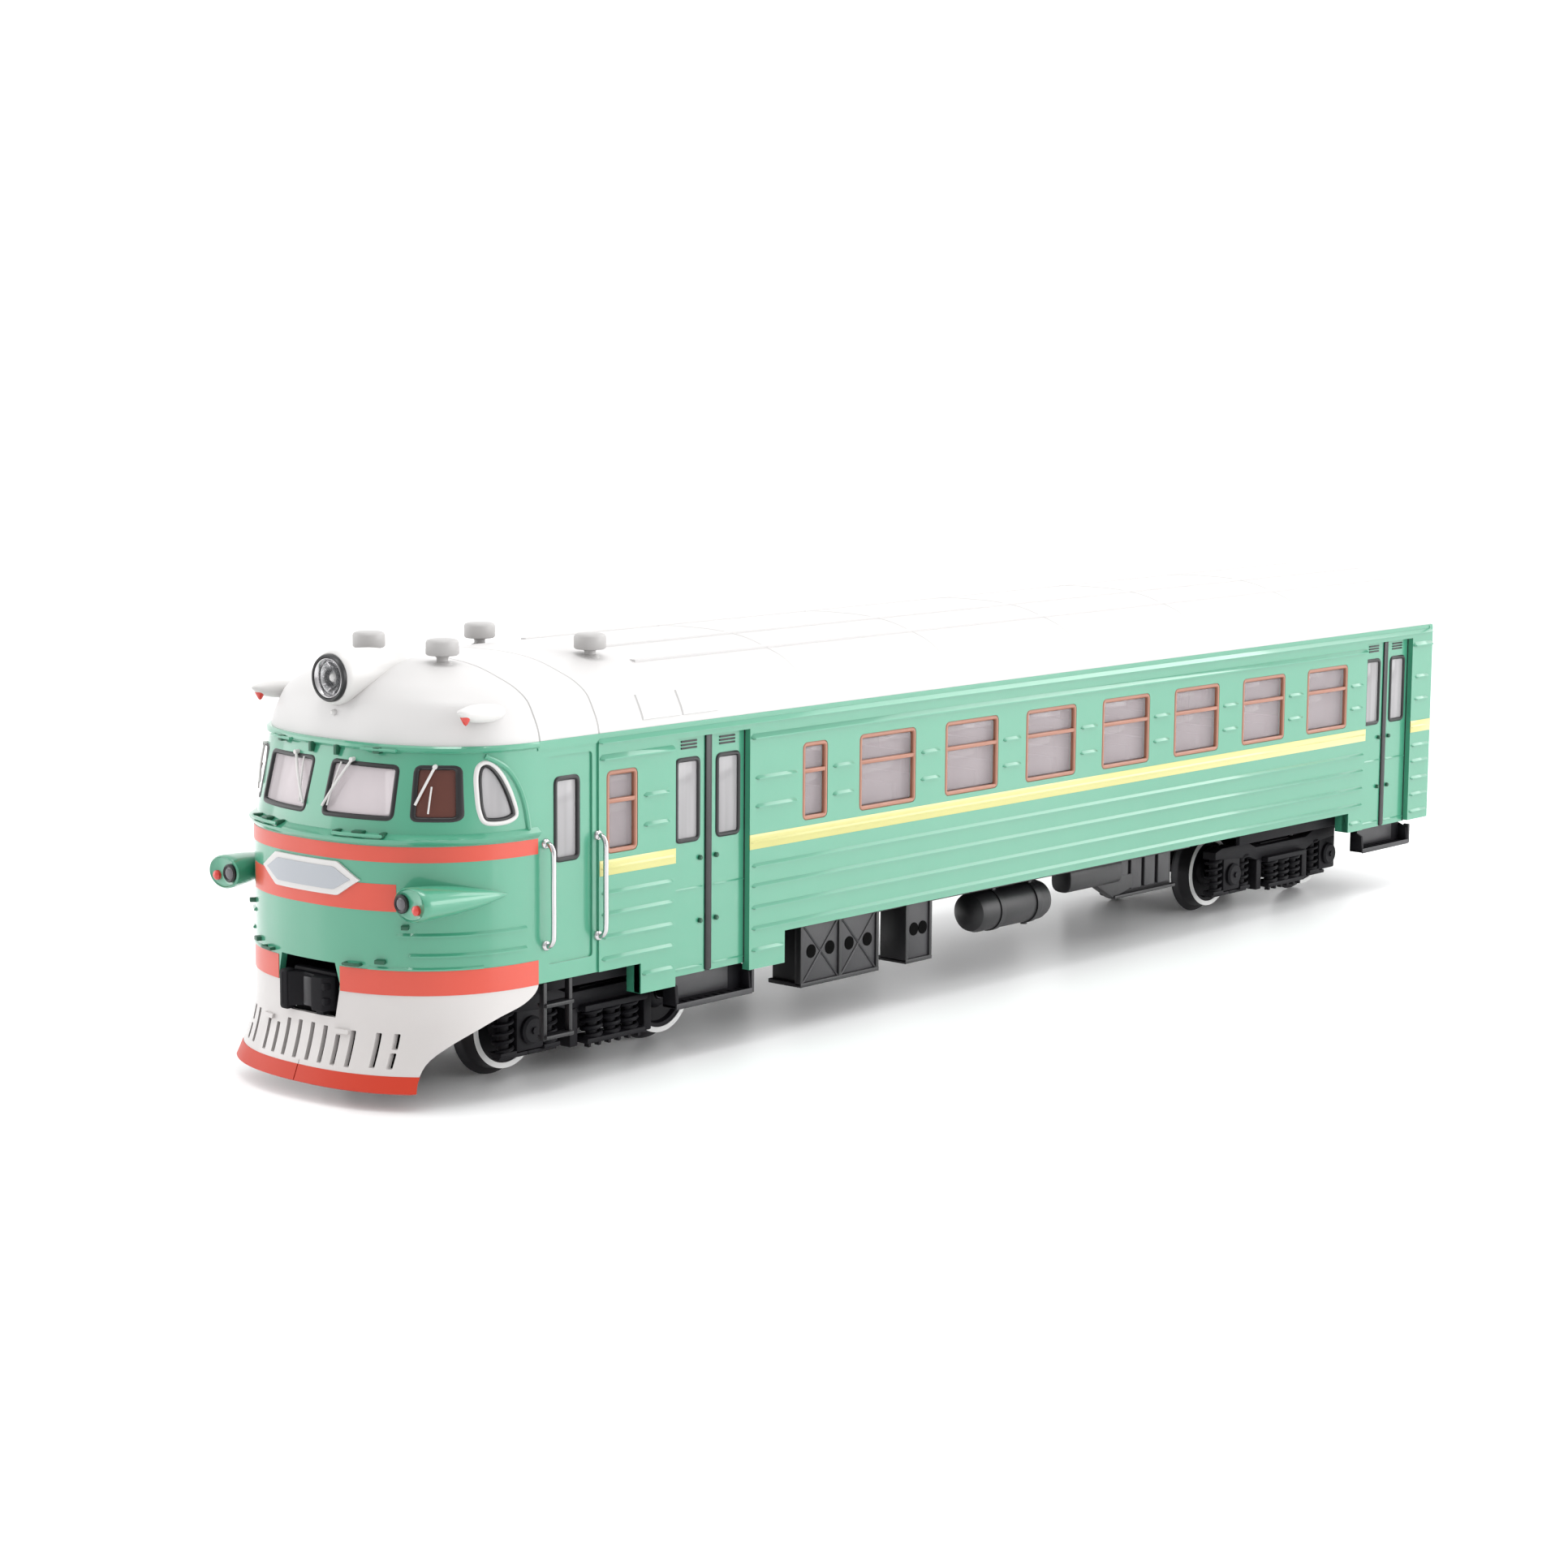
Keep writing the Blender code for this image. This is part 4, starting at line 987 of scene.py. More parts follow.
def rail_on_nose(low_y, high_y, z, out=0.9, radius=0.22):
    """A small grab rail standing off the nose on two posts."""
    posts = [nose_at(low_y, z, -0.3), nose_at(low_y, z, out)]
    run = [nose_at(low_y + (high_y - low_y) * k / 6, z, out) for k in range(7)]
    return tube([*posts, *run[1:-1], nose_at(high_y, z, out), nose_at(high_y, z, -0.3)], radius, sides=8)


def block_on_nose(y, z, width, height, out):
    """A small bracket, turned to face out of the nose."""
    here = nose_at(y, z, out / 2)
    facing = nose_at(y, z, 1.0) - nose_at(y, z, 0.0)
    block = box((-out / 2 - 0.2, -width / 2, -height / 2), (out / 2, width / 2, height / 2), 0.08)
    turn = Matrix.Rotation(math.atan2(facing.y, facing.x), 4, "Z")
    bmesh.ops.transform(block, matrix=Matrix.Translation(here) @ turn, verts=block.verts)
    return block


def make_nose_fittings():
    """Small brackets and grab rails on both halves of the nose, and the plate in its middle."""
    brackets = (  # Y, Z, width, height and reach
        (2.2, 40.5, 0.5, 1.2, 0.7), (8.3, 40.9, 0.9, 0.7, 0.9), (7.9, 31.5, 1.4, 0.45, 1.0),
        (5.0, 31.4, 0.6, 0.5, 1.1), (10.9, 31.4, 0.6, 0.5, 1.1), (13.4, 20.6, 0.9, 0.5, 0.7),
        (10.8, 16.4, 1.3, 0.5, 0.6),
    )
    rails = ((6.3, 10.6, 41.0, 0.8, 0.2), (5.0, 10.9, 31.3, 1.15, 0.22))  # low and high Y, Z, reach, radius
    dark = []
    light = []
    for side in (1, -1):
        dark += [block_on_nose(side * y, *rest) for y, *rest in brackets]
        dark.append(rail_on_nose(side * 6.4, side * 8.4, 15.9, 0.7, 0.2))
        light += [rail_on_nose(side * low, side * high, *rest) for low, high, *rest in rails]
    add_piece("nose_brackets", join(dark), DARK_GREEN)
    add_piece("nose_rails", join(light), GREEN)
    add_piece("front_plate", plate_on_nose(8.4, 5.4, 2.0, 0.34), TRIM)
    add_piece("front_plate_field", plate_on_nose(7.2, 4.9, 1.35, 0.42), PLATE)


def plate_on_nose(half_width, flat_half, half_height, out, middle_z=25.9, columns=40):
    """A plain six-sided plate that follows the nose."""
    rings = []
    for k in range(columns + 1):
        y = half_width * (2 * k / columns - 1)
        taper = min(1.0, (half_width - abs(y)) / (half_width - flat_half))
        reach = max(half_height * taper, 0.06)
        section = ((-0.1, -reach), (out, -reach), (out, reach), (-0.1, reach))
        rings.append([nose_at(y, middle_z + z, o) for o, z in section])
    return loft(rings)


# ---------------------------------------------------------------- roof


def roof_levels():
    return smooth_run(ROOF_LEVELS, 4)


def roof_section(grow=0.0):
    """(Y, Z) points over the roof from the right gutter to the left one."""
    left = [(half + grow * min(half / 12, 1), z + grow * (1 - half / 24)) for half, _, z in roof_levels()]
    return [(-y, z) for y, z in left] + left[::-1]


def roof_height(y):
    levels = sorted((half, z) for half, _, z in roof_levels())
    for (y_in, z_in), (y_out, z_out) in zip(levels, levels[1:]):
        if y_in <= abs(y) <= y_out:
            return z_in + (z_out - z_in) * (abs(y) - y_in) / (y_out - y_in)
    return levels[0][1]


def roof_length(low_x, high_x):
    """A straight stretch of roof. Its ends turn down a little, so that the joints show as grooves."""
    lip, tuck = 0.14, 1.2
    stations = (
        (low_x, tuck), (low_x, lip), (low_x + lip, 0.0), (high_x - lip, 0.0), (high_x, lip), (high_x, tuck)
    )
    rings = []
    for x, drop in stations:
        ring = []
        for y, z in roof_section():
            share = min(1.0, 0.2 + 0.8 * (20.0 - abs(y)))  # the gutters drop less than the crown
            ring.append((x, y * (1 - drop / 20), z - drop * share))
        rings.append([*ring, (x, 18.6, GUTTER_Z), (x, -18.6, GUTTER_Z)])
    return loft(rings)


def make_roof():
    front, rear = ROOF_SEAMS_X
    rings = []
    for half, tip, z in roof_levels():
        arc = [nose_point(a, z, 0.0, half, tip) for a in angles(-QUARTER, QUARTER, 72)]
        rings.append([(front + 0.14, -half, z), *arc, (front + 0.14, half, z)])
    top = [(x, y * 0.02, ROOF_LEVELS[-1][2] + 0.02) for x, y, z in rings[-1]]
    dome = loft([*rings, top], capped=False, wrap_points=False)
    shell = evaluated(dome, ("SOLIDIFY", {"thickness": 1.0, "offset": -1.0, "use_even_offset": True}))
    parts = [shell, roof_length(rear, front), roof_length(REAR_X, rear)]
    parts += roof_panels()
    add_piece("roof_cover", join(parts), WHITE, stands_for=["roof_shell"], crease=30)


def roof_patch(low_x, high_x, low_z, high_z, out=0.16):
    """A plate that lies on the roof's shoulder."""
    section = [(half, z) for half, _, z in roof_levels() if low_z <= z <= high_z]
    rings = []
    for x in (low_x, low_x + 0.15, high_x - 0.15, high_x):
        lift = out if low_x < x < high_x else 0.0
        run = [(x, y + lift, z + lift * 0.4) for y, z in section]
        back = [(x, y - 0.5, z - 0.2) for y, z in reversed(section)]
        rings.append(run + back)
    return loft(rings)


def roof_panels():
    """Shoulder plates over the front door, and the long raised strips along the roof."""
    parts = []
    for low_x, high_x in ((68.0, 74.8), (61.0, 67.6)):
        parts.append(mirrored(roof_patch(low_x, high_x, 42.2, 45.6)))
    for y in (6.6, 12.6):
        z = roof_height(y)
        strip = box((REAR_X + 1.5, y - 0.5, z - 0.5), (69.0, y + 0.5, z + 0.22), 0.12)
        parts.append(mirrored(strip))
    parts += [roof_seam(44.0 - 30.0 * k) for k in range(5)]
    return parts


def roof_seam(x):
    """A low welded seam over the roof."""
    rings = []
    for edge, lift in ((-0.25, 0.0), (-0.1, 0.1), (0.1, 0.1), (0.25, 0.0)):
        over = [(x + edge, y, z + lift) for y, z in roof_section()]
        under = [(x + edge, y * 0.98, z - 0.4) for y, z in reversed(roof_section())]
        rings.append(over + under)
    return loft(rings)


def make_roof_vents():
    for end, x, y, cap_z in (("front", 95.4, 6.5, 52.0), ("rear", 73.6, 9.8, 51.4)):
        for side, sign in SIDES:
            foot = roof_height(y) - 0.3
            profile = [
                (0, foot), (1.2, foot), (1.1, foot + 0.3), (0.7, foot + 0.5), (0.7, foot + 0.9),
                (0.95, cap_z - 1.05), (1.8, cap_z - 0.98), (2.0, cap_z - 0.8), (2.0, cap_z + 0.55),
                (1.86, cap_z + 0.82), (1.5, cap_z + 0.96), (0.4, cap_z + 1.02), (0, cap_z + 1.02),
            ]
            vent = lathe(profile, (x, sign * y, 0))
            name = f"roof_vent_{end}_{side}"
            # Each vent takes the darker vent grey: painted shade.
            add_piece(f"{name}_cap", vent, VENT, stands_for=[name], crease=50)


def make_headlight():
    """A streamlined housing in the dome, with a black bezel, a reflector and a lens."""
    front = 107.3
    place = (0, 0, HEADLIGHT_Z)
    housing = [
        (0, 90.0), (1.2, 91.0), (2.0, 94.0), (2.7, 97.5), (3.15, 101.0), (3.32, 104.5), (3.3, 106.6),
        (3.18, 107.1), (2.95, front), (2.35, front), (2.1, 106.0), (0, 105.6),
    ]
    add_piece(
        "headlight_fairing", lathe(housing, place, "X", 56), TRIM,
        stands_for=["headlight_housing"], crease=40,
    )
    bezel = [
        (2.42, front - 0.1), (2.84, front - 0.1), (2.86, front + 0.35),
        (2.72, front + 0.6), (2.5, front + 0.58), (2.42, front + 0.3),
    ]
    add_piece(
        "headlight_rim", lathe(bezel, place, "X", 56), RUBBER_AND_SHADOW,
        stands_for=["headlight_bezel"], crease=50,
    )
    add_piece(
        "headlight_reflector", join(reflector_parts(front, place)), [CHROME, REFLECTOR, TRIM, GREY],
        crease=50,
    )
    lens = [
        (0, front + 0.62), (1.2, front + 0.55), (2.32, front + 0.28),
        (2.32, front + 0.1), (1.2, front + 0.4), (0, front + 0.45),
    ]
    add_piece(
        "headlight_glass", lathe(lens, place, "X", 56), LENS,
        stands_for=["headlight_lens"], crease=50,
    )
    stud = lathe([(0, 0), (0.35, 0), (0.35, 0.7), (0.2, 0.9), (0, 0.9)], (106.4, 0, 44.6), "X", 16)
    add_piece("headlight_stud", stud, TRIM)


def reflector_parts(front, place):
    """A hoop, a fluted dish, the bulb and the shade round it, as (mesh, material index) pairs."""
    hoop = [
        (2.05, front - 0.2), (2.46, front - 0.2), (2.46, front + 0.42),
        (2.34, front + 0.52), (2.2, front + 0.42),
    ]
    dish = [
        (0, 105.9), (0.6, 105.95), (1.3, 106.25), (1.9, 106.8),
        (2.2, front + 0.05), (2.3, front + 0.05), (2.3, 106.2), (0, 105.6),
    ]
    bulb = [(0, 105.9), (0.55, 106.1), (0.6, 106.8), (0.4, 107.2), (0, 107.35)]
    # The shade ring is a grey lighter than black: painted light inside the lamp.
    shade = [(0.95, 106.6), (1.15, 106.6), (1.2, front), (1.05, front + 0.05)]
    turned = ((hoop, 56), (dish, 56), (bulb, 32), (shade, 32))
    parts = [(lathe(profile, place, "X", count), index) for index, (profile, count) in enumerate(turned)]
    for k in range(12):
        turn = Matrix.Rotation(2 * math.pi * k / 12, 4, "X")
        flute = tube([turn @ Vector((106.5, 0, 1.2)), turn @ Vector((106.95, 0, 2.1))], 0.13, sides=6)
        bmesh.ops.translate(flute, vec=place, verts=flute.verts)
        parts.append((flute, 0))
    return parts


def ellipse_ring(middle, wide, high, count):
    """Points round an upright ellipse that faces along X."""
    turns = [2 * math.pi * k / count for k in range(count)]
    return [middle + Vector((0, math.cos(a) * wide, math.sin(a) * high)) for a in turns]


def make_marker_lamps():
    """Pointed hoods on the dome's shoulders, each over a small red lens."""
    x, y, z = MARKER_LAMP
    stations = (  # along, across, half width, half height and lift of each section
        (1.2, 0.0, 0.05, 0.05, 0.3), (0.8, 0.0, 0.45, 0.36, 0.25), (0.1, -0.05, 0.85, 0.65, 0.1),
        (-1.0, -0.15, 1.15, 0.95, 0.0), (-2.5, -0.3, 1.3, 1.1, -0.1), (-4.5, -0.6, 1.25, 1.1, -0.25),
        (-6.5, -1.0, 1.05, 0.95, -0.4), (-8.5, -1.5, 0.7, 0.65, -0.5), (-10.0, -2.0, 0.2, 0.2, -0.6),
    )
    drop = [(0, -1.2), (0.25, -1.0), (0.62, -0.3), (0.7, 0.0), (0.5, 0.22), (0, 0.28)]
    for side, sign in SIDES:
        rings = [
            ellipse_ring(Vector((x + along, sign * (y + across), z + lift)), sign * wide, high, 28)
            for along, across, wide, high, lift in smooth_run(stations, 4)
        ]
        add_piece(
            f"marker_fairing_{side}", loft(rings), TRIM,
            stands_for=[f"marker_lamp_{side}"], crease=50,
        )
        lens = lathe(drop, (x - 0.1, sign * y, z - 0.15), "Z", 24)
        add_piece(f"marker_glass_{side}", lens, RED_LENS, stands_for=[f"marker_lens_{side}"])


def make_buffer_lamps():
    """Teardrop fairings on the nose, each with a clear and a red lamp in its flat face."""
    x, y, z = BUFFER_LAMP
    tail_x, tail_y = 97.6, 19.7
    rim = [(0.72, x), (1.12, x), (1.12, x + 0.35), (0.95, x + 0.5), (0.76, x + 0.4)]
    clear = [(0, x + 0.1), (0.78, x + 0.1), (0.74, x + 0.35), (0, x + 0.5)]
    red = [(0, x), (0.62, x), (0.58, x + 0.35), (0.35, x + 0.55), (0, x + 0.6)]
    rings = []
    for k in range(15):
        share = k / 14
        size = math.cos(share * math.pi / 2) ** 0.8
        middle = Vector((x + (tail_x - x) * share, y + (tail_y - y) * share ** 1.15, z + 0.05 * share))
        rings.append(ellipse_ring(middle, 2.75 * size + 0.02, 2.02 * size + 0.02, 40))
    for step, inset in ((0.18, 0.08), (0.02, 0.14)):
        flat = [Vector((x + step, p.y + (y - p.y) * inset, p.z + (z - p.z) * inset)) for p in rings[-15]]
        rings.insert(0, flat)
    for side, sign in SIDES:
        fairing = loft(rings)
        bmesh.ops.scale(fairing, vec=(1, sign, 1), verts=fairing.verts)
        add_piece(
            f"buffer_fairing_{side}", outward(fairing), GREEN,
            stands_for=[f"buffer_lamp_{side}"], crease=50,
        )
        clear_place = (0, sign * 15.3, z)
        add_piece(f"buffer_rim_{side}", lathe(rim, clear_place, "X", 32), RUBBER_AND_SHADOW)
        for name, profile, place, finish, slot in (
            ("buffer_glass", clear, clear_place, DARK_LENS, "clear_lens"),
            ("tail_glass", red, (0, sign * 17.75, z - 0.5), RED_LENS, "red_lens"),
        ):
            add_piece(
                f"{name}_{side}", lathe(profile, place, "X", 32), finish,
                stands_for=[f"{slot}_{side}"],
            )


# ---------------------------------------------------------------- skirt


def skirt_flare(z):
    return 1.9 * (max(9.5 - z, 0.0) / 7.0) ** 1.5


def skirt_rings(heights, out=0.0):
    rings = []
    for z in heights:
        spread = skirt_flare(z) + out
        half, tip = HALF_WIDTH + spread, NOSE_TIP_X - 0.1 + spread
        rings.append([nose_point(a, z, 0, half, tip) for a in angles(-QUARTER, QUARTER, 90)])
    return rings


def skirt_sheet(heights, out, cutters, thickness=0.6, even=True):
    """A sheet that follows the flared skirt, less the cutters and all that is behind its rear edge."""
    sheet = loft(skirt_rings(heights, out), capped=False, wrap_points=False)
    solid = {"thickness": thickness, "offset": -1.0, "use_even_offset": even}
    behind = prism([(80, 0), (80, 13), (92.8, 13), *smooth_run(SKIRT_EDGE, 3)], -26, 26)
    return evaluated(sheet, ("SOLIDIFY", solid), cut_by(join([*cutters, behind])))


def make_skirt():
    low_z, high_z = 3.1, CAB_SILL_Z - 0.05
    heights = [low_z + (high_z - low_z) * k / 12 for k in range(13)]
    slots = []
    for y, low, high in SKIRT_SLOTS:
        for side in (1, -1):
            slot = rounded(rectangle(side * y - 0.34, side * y + 0.34, low, high), 0.12, 2)
            slots.append(prism(slot, 100, 118, "X"))
    slots.append(box((112.95, -0.07, 3.0), (118, 0.07, 9.3), 0))
    slots.append(prism(COUPLER_OPENING, 100, 120, "X"))
    panel = skirt_sheet(heights, 0.0, slots)
    add_piece("skirt_panel", panel, SKIRT, stands_for=["front_skirt"], crease=30)
    notch = box((112.5, -0.08, 0.9), (118, 0.08, 3.5), 0)
    # The lip is in a darker red: painted shade on its downward-facing edge.
    lip = skirt_sheet([1.3, 1.6, 2.2, 2.8, 3.15], 0.06, [notch])
    add_piece("skirt_lip", lip, LIP_RED, crease=30)
    opening = prism(COUPLER_OPENING, 100, 120, "X")
    # A near-black sheet behind the skirt: painted shadow seen through its slots and the coupler's opening.
    shadow_sheet = skirt_sheet([3.3, 5.0, 7.0, 8.7], -0.75, [opening], thickness=0.3, even=False)
    add_piece("skirt_shadow_sheet", shadow_sheet, SHADOW_BLACK)
    pads = [skirt_pad(low, high, 7.45, 7.95) for low, high in ((5.0, 7.0), (-8.4, -6.4))]
    add_piece("skirt_treads", join(pads), SKIRT)


def skirt_pad(low_y, high_y, low_z, high_z, out=0.4):
    """A small raised tread on the skirt."""
    rings = []
    for k in range(7):
        y = low_y + (high_y - low_y) * k / 6
        ring = []
        for z, step in ((low_z, -0.3), (low_z, out), (high_z, out), (high_z, -0.3)):
            spread = skirt_flare(z) + step
            half = HALF_WIDTH + spread
            ring.append(nose_point(angle_at_y(y, half), z, 0, half, NOSE_TIP_X - 0.1 + spread))
        rings.append(ring)
    return loft(rings)


# ---------------------------------------------------------------- rods, rails and ladders


def make_handrails():
    low_z, high_z = 17.0, 29.3
    run = (
        (0.0, low_z), (0.75, 17.05), (1.25, 17.6), (1.4, 18.6), (1.4, 23.2), (1.4, 27.8),
        (1.25, 28.7), (0.75, 29.25), (0.0, high_z),
    )
    foot = [(0, -0.2), (0.62, -0.2), (0.62, 0.25), (0.45, 0.45), (0, 0.45)]
    for end, x in (("front", 91.7), ("rear", CAB_END_X)):
        for side, sign in SIDES:
            path = [(x, sign * (HALF_WIDTH + out), z) for out, z in smooth_run(run, 3)]
            feet = [
                lathe(foot, (x, sign * HALF_WIDTH, z), "Y", 20, (1, sign, 1)) for z in (low_z, high_z)
            ]
            name = f"cab_handrail_{end}_{side}"
            add_piece(
                f"{name}_rod", join([tube(path, 0.33, sides=12), *feet]), CHROME,
                stands_for=[name], crease=50,
            )


def make_wipers():
    """Each wiper is an arm with a blade hinged to it, bowed a little over the glass."""
    for side, sign in SIDES:
        parts = []
        for arm, blade in WIPERS:
            for (top, low), radius, lift in ((arm, 0.16, 0.36), (blade, 0.11, 0.26)):
                run = []
                for k in range(9):
                    share = k / 8
                    y, z = (a + (b - a) * share for a, b in zip(top, low))
                    run.append(nose_at(sign * y, z, lift + 0.12 * math.sin(share * math.pi)))
                parts.append(tube(run, radius, sides=8))
            y, z = arm[0]
            parts.append(tube([nose_at(sign * y, z, -0.1), nose_at(sign * y, z, 0.6)], 0.28, sides=12))
        add_piece(f"wiper_arms_{side}", join(parts), TRIM, stands_for=[f"wiper_{side}"])


def make_ladders():
    for side, sign in SIDES:
        y = sign * 19.4
        parts = [box((x - 0.3, y - 0.4, 5.3), (x + 0.3, y + 0.4, CAB_SILL_Z - 0.1)) for x in (87.2, 91.5)]
        for z in (5.7, 9.6):
            parts.append(box((87.0, y - 0.8, z - 0.25), (91.7, y + 0.8, z + 0.25)))
        add_piece(f"ladder_{side}", join(parts), BLACK, stands_for=[f"cab_ladder_{side}"])


# ---------------------------------------------------------------- underframe


def make_chassis():
    """The floor plate with its long beams, cross bearers, bolster rails, coupler pins and door steps."""
    low_z, high_z = CHASSIS_Z
    half = HALF_WIDTH - 1.7
    nose = [nose_point(a, 0, 0, half, 104.0) for a in angles(-QUARTER, QUARTER, 24)]
    outline = [(REAR_X + 1.7, -half), *((p.x, p.y) for p in nose), (REAR_X + 1.7, half)]
    parts = [soften(prism(outline, low_z, high_z, "Z"), 0.1, 60)]
    for y in (5.0, 11.0):
        parts.append(mirrored(box((-108, y - 0.5, low_z - 1.0), (88, y + 0.5, low_z + 0.3))))
    for x in (-100, -60, -45, -20, 6, 25, 48):
        parts.append(box((x - 0.5, -11.4, low_z - 0.7), (x + 0.5, 11.4, low_z + 0.3)))
    for middle_x in BOGIE_X.values():
        parts.append(mirrored(box((middle_x - 11.0, 4.4, 9.7), (middle_x + 11.0, 5.1, low_z + 0.3))))
        parts.append(mirrored(box((middle_x - 20.5, 16.4, 10.5), (middle_x + 16.0, 17.2, low_z + 0.3), 0.2)))
    for x, low in COUPLER_PINS:
        pin = [(0, low), (1.0, low), (1.2, low + 0.2), (1.2, low_z + 0.5), (0, low_z + 0.5)]
        parts.append(lathe(pin, (x, 0, 0)))
    for step in DOOR_STEPS:
        parts.append(mirrored(door_step(*step)))
    add_piece("chassis_plate", join(parts), DULL, stands_for=["chassis_frame"])
    # Plates in a grey lighter than the black steps: painted sheen where their backs, tread edges and ends
    # catch the light.
    lit = []
    for low_x, high_x, tread_z in DOOR_STEPS:
        lit.append(box((low_x + 3.4, 18.2, tread_z + 0.9), (high_x - 0.4, 18.6, DOOR_Z[0] - 0.1), 0.1))
        lit.append(box((low_x + 0.2, 19.75, tread_z - 0.1), (high_x, 19.95, tread_z + 0.65), 0.06))
        lit.append(box((low_x - 0.25, 18.9, tread_z), (low_x + 0.25, 19.9, DOOR_Z[0] - 0.6), 0.08))
    add_piece("step_plates", mirrored(join(lit)), GREY)


def make_coupler_pocket():
    """An open black box behind the nose's opening. It ends clear of the front wheels."""
    pocket = [
        box((96.6, -6.1, 8.4), (97.0, 6.1, 13.2), 0.05),
        box((96.6, -5.6, 8.2), (109.4, 5.6, 8.7), 0.1),
        box((104.3, -6.1, 15.9), (109.9, 6.1, 16.2), 0.05),
        mirrored(box((97.0, 5.8, 9.2), (109.9, 6.1, 15.9), 0.05)),
    ]
    add_piece("coupler_pocket", join(pocket), DULL)


def door_step(low_x, high_x, tread_z):
    """An open box under a door: a tread, a back and two end plates."""
    parts = [
        box((low_x, 17.5, tread_z), (high_x, 19.8, tread_z + 0.45)),
        box((low_x + 0.5, 17.5, tread_z + 0.2), (high_x - 0.5, 18.2, CHASSIS_Z[0] + 0.3)),
    ]
    for x in (low_x, high_x - 0.6):
        outline = [(17.5, tread_z), (19.85, tread_z), (19.6, POCKET_Z - 0.2), (17.5, POCKET_Z + 0.6)]
        parts.append(soften(prism(outline, x, x + 0.6, "X"), 0.1))
    for k in range(9):
        x = low_x + 1.5 + (high_x - low_x - 3.0) * k / 8
        parts.append(box((x - 0.25, 18.3, tread_z + 0.3), (x + 0.25, 19.6, tread_z + 0.55), 0.05))
    return join(parts)


def make_underframe():
    """One black moulding on each side: two boxes on feet, the brake box, a drum and its bracket."""
    parts = [box((-46.6, 12.6, 12.2), (43.6, 18.4, CHASSIS_Z[0] - 0.3))]
    boxes_and_feet = (
        ((28.15, 13.6, 4.6), (43.3, 18.5, 12.7)), ((16.8, 14.4, 4.6), (21.5, 18.5, 12.7)),
        ((27.7, 13.3, 4.4), (43.8, 19.0, 5.0)), ((16.3, 14.0, 4.4), (22.0, 19.0, 5.0)),
    )
    parts += [box(low, high) for low, high in boxes_and_feet]
    for x, back in ((28.0, 17.9), (35.75, 17.9), (43.5, 17.9), (16.6, 14.4), (21.7, 14.4)):
        parts.append(box((x - 0.3, back, 4.6), (x + 0.3, 18.95, 12.7)))
    parts.append(box((-46.2, 12.8, 6.2), (-31.0, 15.3, 12.6), 0.4))
    for z in (6.3, 12.3):
        parts.append(box((-46.4, 14.6, z - 0.25), (-30.8, 16.0, z + 0.25)))
    drum = rounded(rectangle(13.6, 17.2, 8.6, 12.6), 1.6, 6)
    parts.append(soften(prism(drum, -31.0, -18.0, "X"), 0.3, 60))
    bracket = [(-35.4, 7.3), (-30.8, 6.2), (-26.3, 8.6), (-26.3, 9.4), (-35.4, 9.4)]
    parts.append(soften(prism(rounded(bracket, 0.3, 3), 14.2, 15.8), 0.12))
    left = join(parts)
    for side, sign in SIDES:
        gear = left.copy()
        bmesh.ops.scale(gear, vec=(1, sign, 1), verts=gear.verts)
        name = f"underframe_equipment_{side}"
        add_piece(f"underframe_gear_{side}", outward(gear), BLACK, stands_for=[name])
    left.free()
    make_box_fronts()
    make_reservoirs()


def cross_braced_front(low_x, high_x, y, low_z, high_z):
    """A box front with crossed ribs and two round holes."""
    parts = [box((low_x, y - 0.4, low_z), (high_x, y, high_z), 0.05)]
    for start, end in (((low_x, low_z), (high_x, high_z)), ((low_x, high_z), (high_x, low_z))):
        parts.append(tube([(start[0], y, start[1]), (end[0], y, end[1])], 0.16, sides=6))
    return join(parts)


def make_box_fronts():
    """The fronts of the boxes and the pressed lumps of the rear box, lighter than black as painted sheen,
    and their round holes as black discs of painted shadow.
    """
    fronts = []
    holes = []
    for low_x, high_x in ((28.35, 35.4), (36.1, 43.15)):
        fronts.append(cross_braced_front(low_x, high_x, 18.75, 5.0, 12.6))
        middle = (low_x + high_x) / 2
        holes += [(middle - 1.9, 9.0), (middle + 1.9, 9.0)]
    fronts.append(box((16.9, 18.3, 5.0), (21.4, 18.75, 12.6), 0.05))
    holes += [(18.2, 9.0), (20.1, 9.0)]
    for k in range(4):
        x = -44.9 + 3.5 * k
        fronts.append(box((x, 14.9, 7.0), (x + 2.8, 15.75, 11.6), 0.35))
    add_piece("box_fronts", mirrored(join(fronts)), GREY)
    # Each hole is a thin black disc standing on the front: painted shadow.
    plugs = [lathe([(0, 18.6), (0.9, 18.6), (0.9, 18.84), (0, 18.86)], (x, 0, z), "Y", 24) for x, z in holes]
    add_piece("box_holes", mirrored(join(plugs)), SHADOW_BLACK)


def make_reservoirs():
    low_x, high_x, radius = -13.2, 4.6, 2.9
    profile = [
        (0, low_x), (radius * 0.55, low_x + 0.25), (radius * 0.9, low_x + 1.0), (radius, low_x + 1.9),
        (radius, high_x - 1.9), (radius * 0.9, high_x - 1.0), (radius * 0.55, high_x - 0.25), (0, high_x),
    ]
    for side, sign in SIDES:
        place = (0, sign * 15.4, 8.6)
        parts = [lathe(profile, place, "X", 48)]
        for x in (-9.0, -0.6):
            band = rectangle(radius - 0.3, radius + 0.18, x - 0.5, x + 0.5)
            parts.append(lathe(band, place, "X", 48))
            parts.append(box((x - 0.4, sign * 14.2, 11.0), (x + 0.4, sign * 16.6, 12.9)))
        parts.append(rod(0.5, 0, 0.6, (low_x + 4, sign * 15.4, 5.3)))
        name = f"air_reservoir_{side}"
        add_piece(f"air_tank_{side}", join(parts), BLACK, stands_for=[name])


# ---------------------------------------------------------------- bogies


